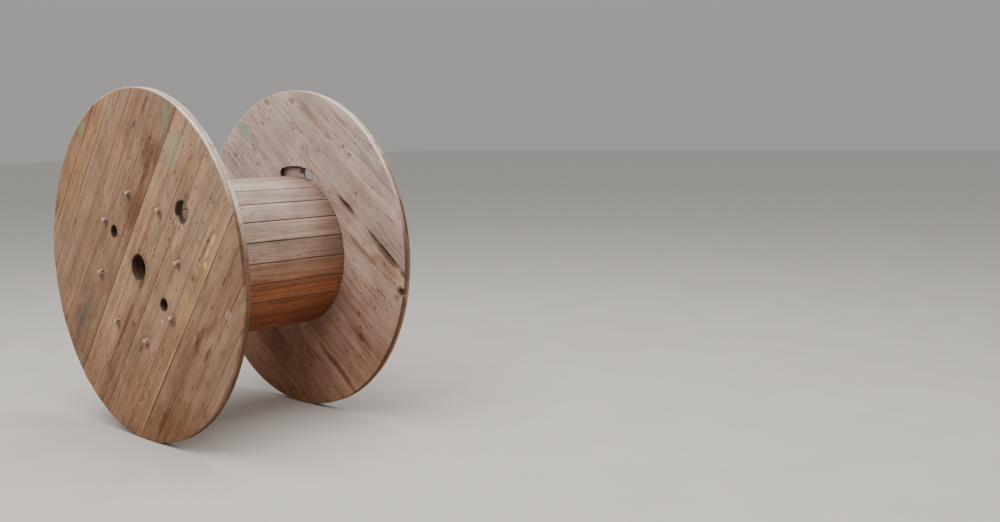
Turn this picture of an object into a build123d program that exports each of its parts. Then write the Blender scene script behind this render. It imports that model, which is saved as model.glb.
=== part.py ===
from build123d import *
from itertools import cycle
import os

# A wooden cable drum lying on the rims of its two flanges. Each flange is two crossed layers of
# boards, the barrel between them is a ring of staves on two core discs, and eight tie rods clamp
# the flanges on the staves. Millimetres. The axle line is along X and the floor is at z = 0.
# Angles are measured round the axle line, from +Y towards +Z.

# Flanges
flange_diameter = 1600.0
outer_board_thickness = 15.0
inner_board_thickness = 19.0
board_gap = 2.0
board_widths = (100.0, 104.0, 134.0, 116.0, 102.0, 118.0, 94.0, 94.0)
narrow_board_widths = (80.0, 80.0, 106.0, 106.0, 108.0, 98.0, 100.0)

# Barrel
inner_width = 850.0
barrel_diameter = 740.0
stave_thickness = 25.0
stave_count = 24
stave_gap = 2.0
core_disc_thickness = 22.0
core_disc_clearance = 0.3

# The whole drum has rolled to this angle: the outer boards of the near flange run along it
drum_roll = 127.5

# Holes through the flanges
arbor_hole_diameter = 110.0
drive_hole_diameter = 52.0
drive_hole_ring_diameter = 500.0
cable_hole_diameter = 94.0
cable_hole_setoff = 42.0
cable_hole_angle = 17.5
start_slot_width = 50.0
start_slot_arc = 30.0
start_slot_angle = -35.0
start_hole_diameter = 90.0
start_hole_angle = -24.0

# Tie rods, with a washer and a nut on each end
rod_diameter = 16.0
rod_count = 8
rod_to_stave_gap = 3.0
rod_hole_clearance = 0.5
rod_hole_sides = 8
rod_overhang = 5.0
nut_across_flats = 24.0
nut_height = 13.0
nut_clearance = 0.1
washer_diameter = 30.0
washer_thickness = 3.0

# Places that follow from the sizes
flange_radius = flange_diameter / 2
inner_face = inner_width / 2
board_joint = inner_face + inner_board_thickness
outer_face = board_joint + outer_board_thickness
washer_face = outer_face + washer_thickness
nut_face = washer_face + nut_height
rod_end = nut_face + rod_overhang
barrel_radius = barrel_diameter / 2
stave_inside = barrel_radius - stave_thickness
cable_hole_ring = barrel_radius + cable_hole_setoff + cable_hole_diameter / 2
start_slot_ring = barrel_radius + start_slot_width / 2
rod_ring = stave_inside - rod_to_stave_gap - rod_diameter / 2


def across(x):
    """The plane square to the axle line at x, with its origin on that line."""
    return Plane(origin=(x, 0, flange_radius), x_dir=(0, 1, 0), z_dir=(1, 0, 0))


def seams(widths):
    """Places of the seams between boards laid side by side, from the middle of the flange."""
    places = []
    place = -flange_radius
    for width in cycle(widths):
        place += width
        if place >= flange_radius:
            return places
        places.append(place)


# The board layouts: the strips between the boards of a layer, for boards that run along local X
with BuildSketch() as wide_first:
    with Locations(*[(0, place) for place in seams(board_widths + narrow_board_widths)]):
        Rectangle(flange_diameter, board_gap)

with BuildSketch() as narrow_first:
    with Locations(*[(0, place) for place in seams(narrow_board_widths + board_widths)]):
        Rectangle(flange_diameter, board_gap)

# The holes for the tie rods, which the washers hide, so flats stand in for their round walls
with BuildSketch() as rod_holes:
    with PolarLocations(rod_ring, rod_count, start_angle=drum_roll):
        RegularPolygon(rod_diameter / 2 + rod_hole_clearance, rod_hole_sides, major_radius=False)

# The holes that go through all the layers of both flanges
with BuildSketch() as common_holes:
    Circle(arbor_hole_diameter / 2)
    with PolarLocations(drive_hole_ring_diameter / 2, 2, start_angle=drum_roll - 90):
        Circle(drive_hole_diameter / 2)
    add(rod_holes.sketch_local)

# The hole in the near flange for the end of the cable
with BuildSketch() as cable_hole:
    with PolarLocations(cable_hole_ring, 1, start_angle=drum_roll + cable_hole_angle):
        Circle(cable_hole_diameter / 2)

# The slot in the far flange's inner boards, round the barrel, where the cable starts
with BuildSketch() as start_slot:
    slot_line = CenterArc(
        (0, 0),
        start_slot_ring,
        drum_roll + start_slot_angle - start_slot_arc / 2,
        start_slot_arc,
        mode=Mode.PRIVATE,
    )
    SlotArc(slot_line, height=start_slot_width)

# The hole in the far flange's outer boards, where the start of the cable comes out
with BuildSketch() as start_hole:
    with PolarLocations(start_slot_ring, 1, start_angle=drum_roll + start_hole_angle):
        Circle(start_hole_diameter / 2)


# Near flange
with BuildPart() as near_outer_boards:
    with BuildSketch(across(-outer_face)):
        Circle(flange_radius)
        add(wide_first.sketch_local, rotation=drum_roll, mode=Mode.SUBTRACT)
        add(common_holes.sketch_local, mode=Mode.SUBTRACT)
        add(cable_hole.sketch_local, mode=Mode.SUBTRACT)
    extrude(amount=outer_board_thickness)

with BuildPart() as near_inner_boards:
    with BuildSketch(across(-board_joint)):
        Circle(flange_radius)
        add(narrow_first.sketch_local, rotation=drum_roll - 90, mode=Mode.SUBTRACT)
        add(common_holes.sketch_local, mode=Mode.SUBTRACT)
        add(cable_hole.sketch_local, mode=Mode.SUBTRACT)
    extrude(amount=inner_board_thickness)

# Far flange
with BuildPart() as far_inner_boards:
    with BuildSketch(across(inner_face)):
        Circle(flange_radius)
        add(wide_first.sketch_local, rotation=drum_roll - 90, mode=Mode.SUBTRACT)
        add(common_holes.sketch_local, mode=Mode.SUBTRACT)
        add(start_slot.sketch_local, mode=Mode.SUBTRACT)
    extrude(amount=inner_board_thickness)

with BuildPart() as far_outer_boards:
    with BuildSketch(across(board_joint)):
        Circle(flange_radius)
        add(narrow_first.sketch_local, rotation=drum_roll, mode=Mode.SUBTRACT)
        add(common_holes.sketch_local, mode=Mode.SUBTRACT)
        add(start_hole.sketch_local, mode=Mode.SUBTRACT)
    extrude(amount=outer_board_thickness)

# Barrel: flat staves with their edges on the radii, nailed round a disc on each flange
with BuildPart() as staves:
    with BuildSketch(across(-inner_face)):
        stave_turn = drum_roll + 180 / stave_count
        RegularPolygon(barrel_radius, stave_count, major_radius=False, rotation=stave_turn)
        RegularPolygon(
            stave_inside, stave_count, major_radius=False, rotation=stave_turn, mode=Mode.SUBTRACT
        )
        with PolarLocations(barrel_radius, stave_count, start_angle=stave_turn):
            Rectangle(4 * stave_thickness, stave_gap, mode=Mode.SUBTRACT)
    extrude(amount=inner_width)

with BuildPart() as near_core_disc:
    with BuildSketch(across(-inner_face)):
        Circle(stave_inside - core_disc_clearance)
        add(common_holes.sketch_local, mode=Mode.SUBTRACT)
    extrude(amount=core_disc_thickness)

with BuildPart() as far_core_disc:
    with BuildSketch(across(inner_face)):
        Circle(stave_inside - core_disc_clearance)
        add(common_holes.sketch_local, mode=Mode.SUBTRACT)
    extrude(amount=-core_disc_thickness)

# Tie rods and their washers and nuts
with BuildPart() as tie_rods:
    with BuildSketch(across(-rod_end)):
        with PolarLocations(rod_ring, rod_count, start_angle=drum_roll):
            Circle(rod_diameter / 2)
    extrude(amount=2 * rod_end)

with BuildSketch() as washer_ring:
    with PolarLocations(rod_ring, rod_count, start_angle=drum_roll):
        Circle(washer_diameter / 2)
    add(rod_holes.sketch_local, mode=Mode.SUBTRACT)

with BuildSketch() as nut_ring:
    with PolarLocations(rod_ring, rod_count, start_angle=drum_roll):
        RegularPolygon(nut_across_flats / 2, 6, major_radius=False)
        RegularPolygon(
            rod_diameter / 2 + nut_clearance, rod_hole_sides, major_radius=False, mode=Mode.SUBTRACT
        )

with BuildPart() as near_washers:
    with BuildSketch(across(-washer_face)):
        add(washer_ring.sketch_local)
    extrude(amount=washer_thickness)

with BuildPart() as far_washers:
    with BuildSketch(across(outer_face)):
        add(washer_ring.sketch_local)
    extrude(amount=washer_thickness)

with BuildPart() as near_nuts:
    with BuildSketch(across(-nut_face)):
        add(nut_ring.sketch_local)
    extrude(amount=nut_height)

with BuildPart() as far_nuts:
    with BuildSketch(across(washer_face)):
        add(nut_ring.sketch_local)
    extrude(amount=nut_height)

os.makedirs("parts", exist_ok=True)

near_outer_boards.part.label = "near_outer_boards"
near_inner_boards.part.label = "near_inner_boards"
far_inner_boards.part.label = "far_inner_boards"
far_outer_boards.part.label = "far_outer_boards"
staves.part.label = "staves"
near_core_disc.part.label = "near_core_disc"
far_core_disc.part.label = "far_core_disc"
tie_rods.part.label = "tie_rods"
near_washers.part.label = "near_washers"
far_washers.part.label = "far_washers"
near_nuts.part.label = "near_nuts"
far_nuts.part.label = "far_nuts"

export_step(near_outer_boards.part, "parts/near_outer_boards.step")
export_step(near_inner_boards.part, "parts/near_inner_boards.step")
export_step(far_inner_boards.part, "parts/far_inner_boards.step")
export_step(far_outer_boards.part, "parts/far_outer_boards.step")
export_step(staves.part, "parts/staves.step")
export_step(near_core_disc.part, "parts/near_core_disc.step")
export_step(far_core_disc.part, "parts/far_core_disc.step")
export_step(tie_rods.part, "parts/tie_rods.step")
export_step(near_washers.part, "parts/near_washers.step")
export_step(far_washers.part, "parts/far_washers.step")
export_step(near_nuts.part, "parts/near_nuts.step")
export_step(far_nuts.part, "parts/far_nuts.step")
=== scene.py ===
"""A weathered wooden cable drum that lies on the rims of its two board flanges.

The drum's axle line is along X, 0.8 m above the floor. Each flange has two crossed layers of boards,
the barrel is a ring of flat staves, and eight threaded rods clamp the flanges together.
"""
from __future__ import annotations

import logging
import math
from dataclasses import dataclass, field
from enum import Enum
from itertools import cycle
from typing import Any, Callable, Iterable, Sequence

import bpy
import numpy as np
from mathutils import Matrix, Vector
from mathutils.kdtree import KDTree


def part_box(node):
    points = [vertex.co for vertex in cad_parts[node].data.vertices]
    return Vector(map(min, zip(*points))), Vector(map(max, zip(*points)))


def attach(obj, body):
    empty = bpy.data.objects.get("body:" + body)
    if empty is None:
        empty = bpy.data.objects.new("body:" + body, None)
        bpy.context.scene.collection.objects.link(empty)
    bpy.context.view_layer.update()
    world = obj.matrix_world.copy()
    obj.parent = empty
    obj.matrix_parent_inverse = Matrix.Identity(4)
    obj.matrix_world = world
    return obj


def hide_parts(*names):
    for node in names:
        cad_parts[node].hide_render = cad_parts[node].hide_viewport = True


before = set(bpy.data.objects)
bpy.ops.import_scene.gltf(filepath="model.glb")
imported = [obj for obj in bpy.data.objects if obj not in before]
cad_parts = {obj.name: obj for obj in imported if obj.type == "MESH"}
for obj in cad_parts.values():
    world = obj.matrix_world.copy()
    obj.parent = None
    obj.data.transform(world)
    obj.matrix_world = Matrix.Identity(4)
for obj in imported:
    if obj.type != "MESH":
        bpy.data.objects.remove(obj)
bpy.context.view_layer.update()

log = logging.getLogger("cable_drum")

Color = tuple[float, float, float]
Point = tuple[float, float, float]
Array = np.ndarray
Random = np.random.Generator
Material = bpy.types.Material
Thing = bpy.types.Object
Tree = bpy.types.NodeTree
Node = bpy.types.Node
Socket = bpy.types.NodeSocket
Shape = tuple[Array, list[tuple[int, ...]]]
Marks = tuple[Array, Array]
Placing = Callable[[Array, Array, float], Marks]
Heights = Callable[[Array, Array], Array]

# The attributes that the meshes carry for the materials and the Geometry Nodes
PLACE = "board_place"
SEED = "board_seed"
TONE = "board_tone"
AXIS = "board_axis"
FACING = "facing"
NAIL = "nail_offset"
MARGIN = "board_margin"
HOLE = "hole_margin"

# How fine each pattern of the wood is along the grain, across it and through the board
FIBRES = (7.0, 430.0, 430.0)
STREAKS = (0.9, 26.0, 26.0)
BANDS = (0.6, 19.0, 19.0)
HUES = (1.1, 13.0, 13.0)
GRIME = (4.0, 75.0, 75.0)
CHECKS = (1.6, 95.0, 95.0)
CHECKED_PLACES = (2.5, 14.0, 14.0)
SPECKS = (15.0, 34.0, 34.0)
RING_WANDER = (1.1, 3.0, 3.0)
STAIN_FRAY = (1.0, 9.0, 34.0)

# How much farther a nail's stain reaches along the grain than across it
NAIL_STRETCH = 2.5

# The creases, in degrees, from which edges of the wood and the steel stay sharp
WOOD_CREASE = 32.0
STEEL_CREASE = 40.0
NUT_CREASE = 25.0
NAIL_CREASE = 30.0

# How far a cutting shape stands past the wood that it cuts, and how many points bend a slot's long sides
OVERRUN = 0.02
SLOT_POINTS = 14

# How many waves a worn hole has round it, and how fast a board's sway goes along it, in radians a metre
WEAR_WAVES = (3, 5, 8, 13)
SWAY_WAVES = (3.1, 7.3, 17.0)


class Graph:
    """A node tree, with short calls that add a node and return one of its outputs."""

    def __init__(self, tree: Tree) -> None:
        """Take the node tree of a material, a world or a geometry."""
        self.tree = tree

    @staticmethod
    def _find(sockets: Iterable[Socket], key: str | int) -> Socket:
        """Return the usable socket with a name, or the socket with a number."""
        usable = (socket for socket in sockets if socket.name == key and not socket.is_unavailable)
        return sockets[key] if isinstance(key, int) else next(usable)

    def add(
        self, kind: str, inputs: dict[str | int, Any] | None = None, out: str | int = 0, **settings: Any
    ) -> Socket:
        """Add a node.

        Args:
            kind: The node's type name.
            inputs: What goes into its inputs, each a socket or a plain value.
            out: The output to return.
            **settings: The node's own settings, set before its inputs.

        Returns:
            The chosen output socket.
        """
        node = self.tree.nodes.new(kind)
        for name, value in settings.items():
            setattr(node, name, value)
        for key, value in (inputs or {}).items():
            self.feed(self._find(node.inputs, key), value)
        return self._find(node.outputs, out)

    def feed(self, target: Socket, value: Any) -> None:
        """Link a socket to an input, or set the input's plain value.

        Args:
            target: The input.
            value: A socket, a number, a colour or another plain value.
        """
        if isinstance(value, bpy.types.NodeSocket):
            self.tree.links.new(value, target)
        elif target.type == "RGBA" and len(value) == 3:
            target.default_value = (*value, 1.0)
        else:
            target.default_value = value

    def calc(self, operation: str, *values: Any, clamp: bool = False) -> Socket:
        """Return one step of arithmetic on numbers."""
        return self.add("ShaderNodeMath", dict(enumerate(values)), operation=operation, use_clamp=clamp)

    def vector(self, operation: str, *values: Any, out: str = "Vector") -> Socket:
        """Return one step of arithmetic on vectors."""
        return self.add("ShaderNodeVectorMath", dict(enumerate(values)), out=out, operation=operation)

    def scaled(self, vector: Socket, factors: Point) -> Socket:
        """Return a vector with each axis multiplied by its own factor."""
        return self.vector("MULTIPLY", vector, factors)

    def times(self, vector: Socket, factor: Any) -> Socket:
        """Return a vector multiplied by a number."""
        return self.add("ShaderNodeVectorMath", {0: vector, "Scale": factor}, operation="SCALE")

    def wander(self, vector: Socket, scale: float, detail: float, reach: Any) -> Socket:
        """Return a soft random shift, about nothing on average."""
        shift = self.noise(vector, scale, detail, out="Color")
        return self.times(self.vector("SUBTRACT", shift, (0.5, 0.5, 0.5)), reach)

    def noise(
        self, vector: Socket, scale: float, detail: float = 2.0, rough: float = 0.5, out: str = "Fac"
    ) -> Socket:
        """Return soft noise at a vector."""
        inputs = {"Vector": vector, "Scale": scale, "Detail": detail, "Roughness": rough}
        return self.add("ShaderNodeTexNoise", inputs, out=out)

    def ease(self, value: Socket, start: Any, end: Any, low: Any = 0.0, high: Any = 1.0) -> Socket:
        """Return low up to start and high from end on, with a smooth change between them."""
        inputs = {"Value": value, "From Min": start, "From Max": end, "To Min": low, "To Max": high}
        return self.add("ShaderNodeMapRange", inputs, interpolation_type="SMOOTHSTEP")

    def mix(self, factor: Any, first: Any, second: Any, blend: str = "MIX") -> Socket:
        """Return a mix of two colours."""
        inputs = {"Factor": factor, "A": first, "B": second}
        return self.add("ShaderNodeMix", inputs, out="Result", data_type="RGBA", blend_type=blend)

    def shade(self, color: Any, factor: Any) -> Socket:
        """Return a colour multiplied by another colour or by a number."""
        return self.mix(1.0, color, factor, "MULTIPLY")

    def push(self, value: Any, noise: Socket, amount: float) -> Socket:
        """Return a value that a noise moves up and down."""
        return self.calc("MULTIPLY_ADD", self.calc("SUBTRACT", noise, 0.5), amount, value)

    def distance(self, first: Socket, second: Socket) -> Socket:
        """Return how far away a place is whose two offsets are given."""
        squares = (self.calc("POWER", offset, 2.0) for offset in (first, second))
        return self.calc("SQRT", self.calc("ADD", *squares))

    def cell(self, space: str, key: str, place: Socket) -> Node:
        """Return a node that finds the nearest of many random places, on a line (1D) or a plane (2D)."""
        inputs = {key: place, "Scale": 1.0}
        return self.add("ShaderNodeTexVoronoi", inputs, voronoi_dimensions=space).node

    def parts(self, vector: Socket) -> tuple[Socket, Socket, Socket]:
        """Return a vector's three numbers."""
        return tuple(self.add("ShaderNodeSeparateXYZ", {0: vector}).node.outputs)

    def attribute(self, name: str, out: str) -> Socket:
        """Return an attribute of the mesh."""
        return self.add("ShaderNodeAttribute", out=out, attribute_name=name)

    def relief(self, shader: Node, height: Socket, strength: float, distance: float) -> None:
        """Give a shader a fine relief."""
        bump = {"Strength": strength, "Distance": distance, "Height": height}
        self.feed(shader.inputs["Normal"], self.add("ShaderNodeBump", bump))


def new_material(name: str) -> tuple[Material, Graph, Node]:
    """Make an empty node material.

    Args:
        name: The material's name.

    Returns:
        The material, its graph and its surface shader.
    """
    material = bpy.data.materials.new(name)
    material.use_nodes = True
    return material, Graph(material.node_tree), material.node_tree.nodes["Principled BSDF"]


class Stained(Enum):
    """What a stain does to the wood under it."""

    COVER = "MIX"
    DARKEN = "MULTIPLY"


@dataclass(frozen=True)
class Stain:
    """A soft-edged mark on a face, placed along and across the boards, in metres from the axle line.

    It reaches half_length and half_width from its middle, and depth into and out of the face.
    Its lean, in radians, turns it away from the grain.
    """

    along: float
    across: float
    half_length: float
    half_width: float
    color: Color
    strength: float
    kind: Stained = Stained.COVER
    ragged: float = 0.5
    lean: float = 0.0
    depth: float = 0.012


@dataclass(frozen=True)
class Wood:
    """Softwood that has stood outdoors, worked out in each board's own coordinates."""

    name: str
    greyed: float
    height: float
    early: Color = (0.39, 0.225, 0.13)
    late: Color = (0.22, 0.11, 0.058)
    silver: Color = (0.385, 0.265, 0.192)
    dirt: Color = (0.07, 0.036, 0.022)
    knot: Color = (0.15, 0.065, 0.032)
    # The darkening towards the ground, partly damp wood and partly painted shade
    damp_and_shade: Color = (0.70, 0.55, 0.46)
    end: Color = (0.64, 0.54, 0.46)
    # The painted shade on end grain that faces sideways, such as the sides of the rims
    side_end_shade: Color = (0.36, 0.275, 0.225)
    # Where wood that faces down turns brown, partly as real sheltered wood and partly as painted shade, with
    # more painted shade on faces that point further down
    shelter_and_shade: tuple[float, float] = (-2.0, -1.5)
    sheltered_and_shaded: Color = (0.49, 0.25, 0.142)
    downward_shade: Color = (1.08, 0.86, 0.78)
    # How far along the barrel its painted end shade reaches, none if zero, and the colour of that shade
    shaded_ends: float = 0.0
    end_shade: Color = (0.48, 0.37, 0.31)
    # The height at which that darkening fades out
    damp_and_shade_top: float = 0.75
    specks: float = 0.5
    tone_depth: float = 0.2
    turn: float = 0.0
    face_x: float = 0.0
    stains: tuple[Stain, ...] = ()
    bolts: tuple[Point, ...] = ()
    ring_pitch: float = 0.0046
    knots_per_metre: float = 1.5
    relief: float = 0.0006
    seam_dirt: float = 0.38
    seam_reach: float = 0.003
    contrast: float = 1.0
    # How far up end grain must face to turn pale, partly by real bleaching and partly as a painted highlight
    bleach_and_highlight_from: float = 0.25
    side_shade: Color = (1.0, 1.0, 1.0)
    # The radii of the painted highlight along the rim and of the painted shade round the bore, none if zero
    rim_radius: float = 0.0
    bore_radius: float = 0.0
    loose: bool = False

    def build(self) -> Material:
        """Make the material.

        Returns:
            The finished material.
        """
        material, g, shader = new_material(self.name)
        spot = g.add("ShaderNodeTexCoord", out="Object")
        seed = g.attribute(SEED, "Fac")
        shift = g.add("ShaderNodeCombineXYZ", {"X": g.calc("MULTIPLY", seed, 43.0)})
        if self.loose:
            x, y, z = g.parts(spot)
            board = g.add("ShaderNodeCombineXYZ", {"X": y, "Y": g.calc("SUBTRACT", z, self.height), "Z": x})
        else:
            board = g.attribute(PLACE, "Vector")
        place = g.vector("ADD", board, shift)
        chance = g.add("ShaderNodeTexWhiteNoise", {"W": seed}, out="Color", noise_dimensions="1D")

        near_knot, knot_mask, knot_rim = self._knots(g, place)
        late = self._rings(g, place, chance, near_knot)
        fibre = g.noise(g.scaled(place, FIBRES), 1.0, 3.0, 0.6)
        streak = g.noise(g.scaled(place, STREAKS), 1.0, 4.0, 0.55)
        checks = self._checks(g, place)

        depth = self.contrast
        color = g.mix(g.calc("MULTIPLY", late, 0.6), self.early, self.late)
        color = g.shade(color, g.ease(streak, 0.3, 0.72, 1 + 0.22 * depth, 1 - 0.32 * depth))
        color = self._weather_and_painted_light(g, color, spot, chance, fibre, streak, late)
        color = g.mix(g.calc("MULTIPLY", knot_mask, 0.58), color, self.knot)
        color = g.mix(g.calc("MULTIPLY", knot_rim, 0.42), color, self.dirt)
        color = self._blotches(g, color, spot, place)
        color = self._damp_and_low_shade(g, color, spot, streak)
        color = g.mix(g.calc("MULTIPLY", self._spots(g, place), self.specks), color, self.dirt)
        color = g.mix(g.calc("MULTIPLY", checks, 0.8), color, self.dirt)
        if not self.loose:
            color = g.mix(self._nail_stains(g, fibre), color, self.dirt)
            color = self._seams(g, color, fibre)
        color = self._marks(g, color, spot)
        color = self._rim_highlight_and_bore_shade(g, color, spot, fibre)
        tone = g.calc("MULTIPLY_ADD", g.attribute(TONE, "Fac"), self.tone_depth, 1.0)
        g.feed(shader.inputs["Base Color"], g.shade(color, tone))

        g.feed(shader.inputs["Roughness"], g.ease(fibre, 0.2, 0.8, 0.95, 0.78))
        shader.inputs["Specular IOR Level"].default_value = 0.25
        height = g.calc("MULTIPLY_ADD", late, 0.3, g.calc("MULTIPLY", fibre, 0.7))
        height = g.calc("SUBTRACT", height, g.calc("MULTIPLY", checks, 1.4))
        height = g.calc("SUBTRACT", height, g.calc("MULTIPLY", knot_rim, 0.8))
        g.relief(shader, height, 1.0, self.relief)
        return material

    def _blotches(self, g: Graph, color: Socket, spot: Socket, place: Socket) -> Socket:
        """Vary the wood in soft blotches, bands, hues and grime.

        Args:
            g: The graph.
            color: The colour so far.
            spot: The place on the drum.
            place: The place in the board.

        Returns:
            The varied colour.
        """
        depth = self.contrast
        color = g.shade(color, g.ease(g.noise(spot, 5.5, 5.0, 0.62), 0.32, 0.68, 0.84, 1.12))
        band = g.noise(g.scaled(place, BANDS), 1.0, 2.0)
        color = g.shade(color, g.ease(band, 0.34, 0.66, 1 - 0.16 * depth, 1 + 0.14 * depth))
        hue = g.ease(g.noise(g.scaled(place, HUES), 1.7, 3.0), 0.38, 0.62)
        tint = g.mix(hue, (1.045, 0.955, 0.93), (0.975, 1.02, 0.965))
        color = g.mix(depth, color, tint, "MULTIPLY")
        grime = g.noise(g.scaled(place, GRIME), 1.0, 6.0, 0.72)
        return g.mix(g.ease(grime, 0.48, 0.74, 0.0, 0.42 * depth), color, self.dirt)

    def _knots(self, g: Graph, place: Socket) -> tuple[Socket, Socket, Socket]:
        """Place knots along each board.

        Args:
            g: The graph.
            place: The place in the board.

        Returns:
            How near the place is to a knot, the knot itself and its dark rim.
        """
        place = g.vector("ADD", place, g.wander(place, 55.0, 2.0, 0.006))
        along, across, _ = g.parts(place)
        turned = g.calc("MULTIPLY", along, self.knots_per_metre)
        cell = g.cell("1D", "W", turned)
        random_across, exists, size = g.parts(cell.outputs["Color"])
        offset = g.calc("DIVIDE", g.calc("SUBTRACT", turned, cell.outputs["W"]), self.knots_per_metre)
        middle = g.calc("MULTIPLY", g.calc("SUBTRACT", random_across, 0.5), 0.08)
        aside = g.calc("SUBTRACT", across, middle)
        radius = g.calc("MULTIPLY_ADD", g.calc("POWER", size, 2.0), 0.012, 0.006)
        radius = g.calc("MULTIPLY", radius, g.ease(exists, 0.3, 0.36))
        radius = g.calc("MAXIMUM", radius, 0.0004)
        share = g.calc("DIVIDE", g.distance(offset, aside), radius)
        flow = g.calc("DIVIDE", g.distance(g.calc("DIVIDE", offset, 2.4), aside), radius)
        mask = g.ease(share, 0.35, 1.1, 1.0, 0.0)
        rim = g.calc("MULTIPLY", g.ease(share, 0.7, 0.95), g.ease(share, 1.0, 1.25, 1.0, 0.0))
        return g.ease(flow, 0.5, 3.0, 1.0, 0.0), mask, rim

    def _rings(self, g: Graph, place: Socket, chance: Socket, near_knot: Socket) -> Socket:
        """Work out the dark late wood of the growth rings, round a pith that lies outside the board.

        Args:
            g: The graph.
            place: The place in the board.
            chance: Three random numbers for the board.
            near_knot: How near the place is to a knot, where the rings bulge.

        Returns:
            The share of late wood.
        """
        wander = g.wander(g.scaled(place, RING_WANDER), 1.0, 2.0, 0.05)
        pith = g.vector("MULTIPLY_ADD", chance, (0.0, 0.11, 0.09), (0.0, -0.055, 0.03))
        radial = g.scaled(g.vector("ADD", g.vector("ADD", place, wander), pith), (0.0, 1.0, 1.0))
        reach = g.vector("LENGTH", radial, out="Value")
        reach = g.calc("MULTIPLY_ADD", near_knot, 0.009, reach)
        uneven = g.noise(g.add("ShaderNodeCombineXYZ", {"X": reach}), 90.0, 1.0)
        turns = g.calc("ADD", g.calc("DIVIDE", reach, self.ring_pitch), g.calc("MULTIPLY", uneven, 1.6))
        year = g.calc("FRACT", turns)
        return g.calc("MULTIPLY", g.ease(year, 0.25, 0.9), g.ease(year, 0.9, 1.0, 1.0, 0.0))

    @staticmethod
    def _checks(g: Graph, place: Socket) -> Socket:
        """Work out fine drying cracks that run along the grain in some places.

        Args:
            g: The graph.
            place: The place in the board.

        Returns:
            The cracks, as a share.
        """
        lines = g.noise(g.scaled(place, CHECKS), 1.0, 2.0)
        lines = g.ease(g.calc("ABSOLUTE", g.calc("SUBTRACT", lines, 0.5)), 0.0, 0.014, 1.0, 0.0)
        patches = g.ease(g.noise(g.scaled(place, CHECKED_PLACES), 1.0, 1.0), 0.56, 0.68)
        return g.calc("MULTIPLY", lines, patches)

    def _weather_and_painted_light(
        self, g: Graph, color: Socket, spot: Socket, chance: Socket, fibre: Socket, streak: Socket,
        late: Socket,
    ) -> Socket:
        """Turn the wood grey where rain and sun reach it and brown where they don't, and paint shade and
        highlights.

        Args:
            g: The graph.
            color: The colour of the fresh wood.
            spot: The place on the drum.
            chance: Three random numbers for the board.
            fibre: Fine fibres.
            streak: Broad streaks along the grain.
            late: The share of late wood.

        Returns:
            The weathered colour.
        """
        normal = g.add("ShaderNodeNewGeometry", out="Normal")
        _, _, upward = g.parts(normal)
        patches = g.noise(spot, 2.6, 3.0)
        grey = g.push(self.greyed, patches, 0.9)
        grey = g.push(grey, streak, -0.9)
        grey = g.push(grey, g.parts(chance)[2], 0.35)
        grey = g.calc("ADD", grey, g.ease(upward, 0.0, 0.9, 0.0, 0.34), clamp=True)
        end = g.vector("DOT_PRODUCT", normal, g.attribute(AXIS, "Vector"), out="Value")
        end = g.ease(g.calc("ABSOLUTE", end), 0.45, 0.8)
        grey = g.calc("MAXIMUM", grey, g.calc("MULTIPLY", end, 0.75), clamp=True)
        worn = g.shade(self.silver, g.ease(fibre, 0.25, 0.8, 0.8, 1.12))
        worn = g.mix(g.calc("MULTIPLY", late, 0.26), worn, self.dirt)
        # End grain that faces up turns pale, partly as real bleaching and partly as a painted highlight
        bleached_and_lit = g.calc("MULTIPLY", end, g.ease(upward, self.bleach_and_highlight_from, 0.8, 0.0, 0.85))
        worn = g.mix(bleached_and_lit, worn, self.end)
        color = g.shade(color, g.ease(fibre, 0.25, 0.8, 0.86, 1.1))
        color = g.mix(grey, color, worn)
        # Painted shade: end grain that faces sideways, such as the sides of the rims, is darkened
        side = g.calc("SUBTRACT", end, g.calc("MULTIPLY", end, g.ease(upward, 0.1, 0.65)))
        color = g.mix(side, color, self.side_end_shade, "MULTIPLY")
        # Wood that faces down stays brown, partly as real sheltered wood and partly as painted shade, and it
        # gets darker as painted shade the further down it faces
        frayed = g.push(upward, streak, 0.5)
        under = g.ease(frayed, *self.shelter_and_shade, 1.0, 0.0)
        dark = g.mix(g.ease(g.calc("ADD", late, fibre), 0.3, 1.6, 0.0, 0.4), self.sheltered_and_shaded, self.dirt)
        dark = g.mix(g.ease(frayed, -0.1, -0.95), dark, g.shade(dark, self.downward_shade))
        color = g.mix(under, color, dark)
        return self._painted_side_and_end_shade(g, color, spot, upward, patches, under) if self.shaded_ends else color

    def _painted_side_and_end_shade(
        self, g: Graph, color: Socket, spot: Socket, upward: Socket, patches: Socket, under: Socket
    ) -> Socket:
        """Paint shade on the sides of the barrel, and on its ends, which the flanges keep from the light.

        Args:
            g: The graph.
            color: The colour so far.
            spot: The place on the drum.
            upward: How much the surface faces up.
            patches: Broad patches that fray the change.
            under: How sheltered and shaded the wood is already.

        Returns:
            The darkened colour.
        """
        # Painted shade on the staves that face sideways
        color = g.shade(color, g.mix(g.ease(upward, 0.3, 0.85), self.side_shade, (1.0, 1.0, 1.0)))
        # Painted shade towards both ends of the barrel, lighter where the wood is already sheltered and
        # shaded
        along = g.push(g.calc("ABSOLUTE", g.parts(spot)[0]), patches, 0.12)
        end_shade_share = g.ease(along, self.shaded_ends - 0.28, self.shaded_ends + 0.04, 0.0, 0.95)
        end_shade_share = g.calc("MULTIPLY", end_shade_share, g.ease(under, 0.0, 1.0, 1.0, 0.5))
        return g.mix(end_shade_share, color, self.end_shade, "MULTIPLY")

    def _damp_and_low_shade(self, g: Graph, color: Socket, spot: Socket, streak: Socket) -> Socket:
        """Darken the wood towards the ground, partly as damp wood and partly as painted shade.

        Args:
            g: The graph.
            color: The colour so far.
            spot: The place on the drum.
            streak: Broad streaks along the grain.

        Returns:
            The darkened colour.
        """
        _, _, height = g.parts(spot)
        height = g.push(height, streak, 0.5)
        height = g.push(height, g.noise(spot, 3.2, 4.0), 0.6)
        return g.mix(g.ease(height, -0.1, self.damp_and_shade_top, 0.9, 0.0), color, self.damp_and_shade, "MULTIPLY")

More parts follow.
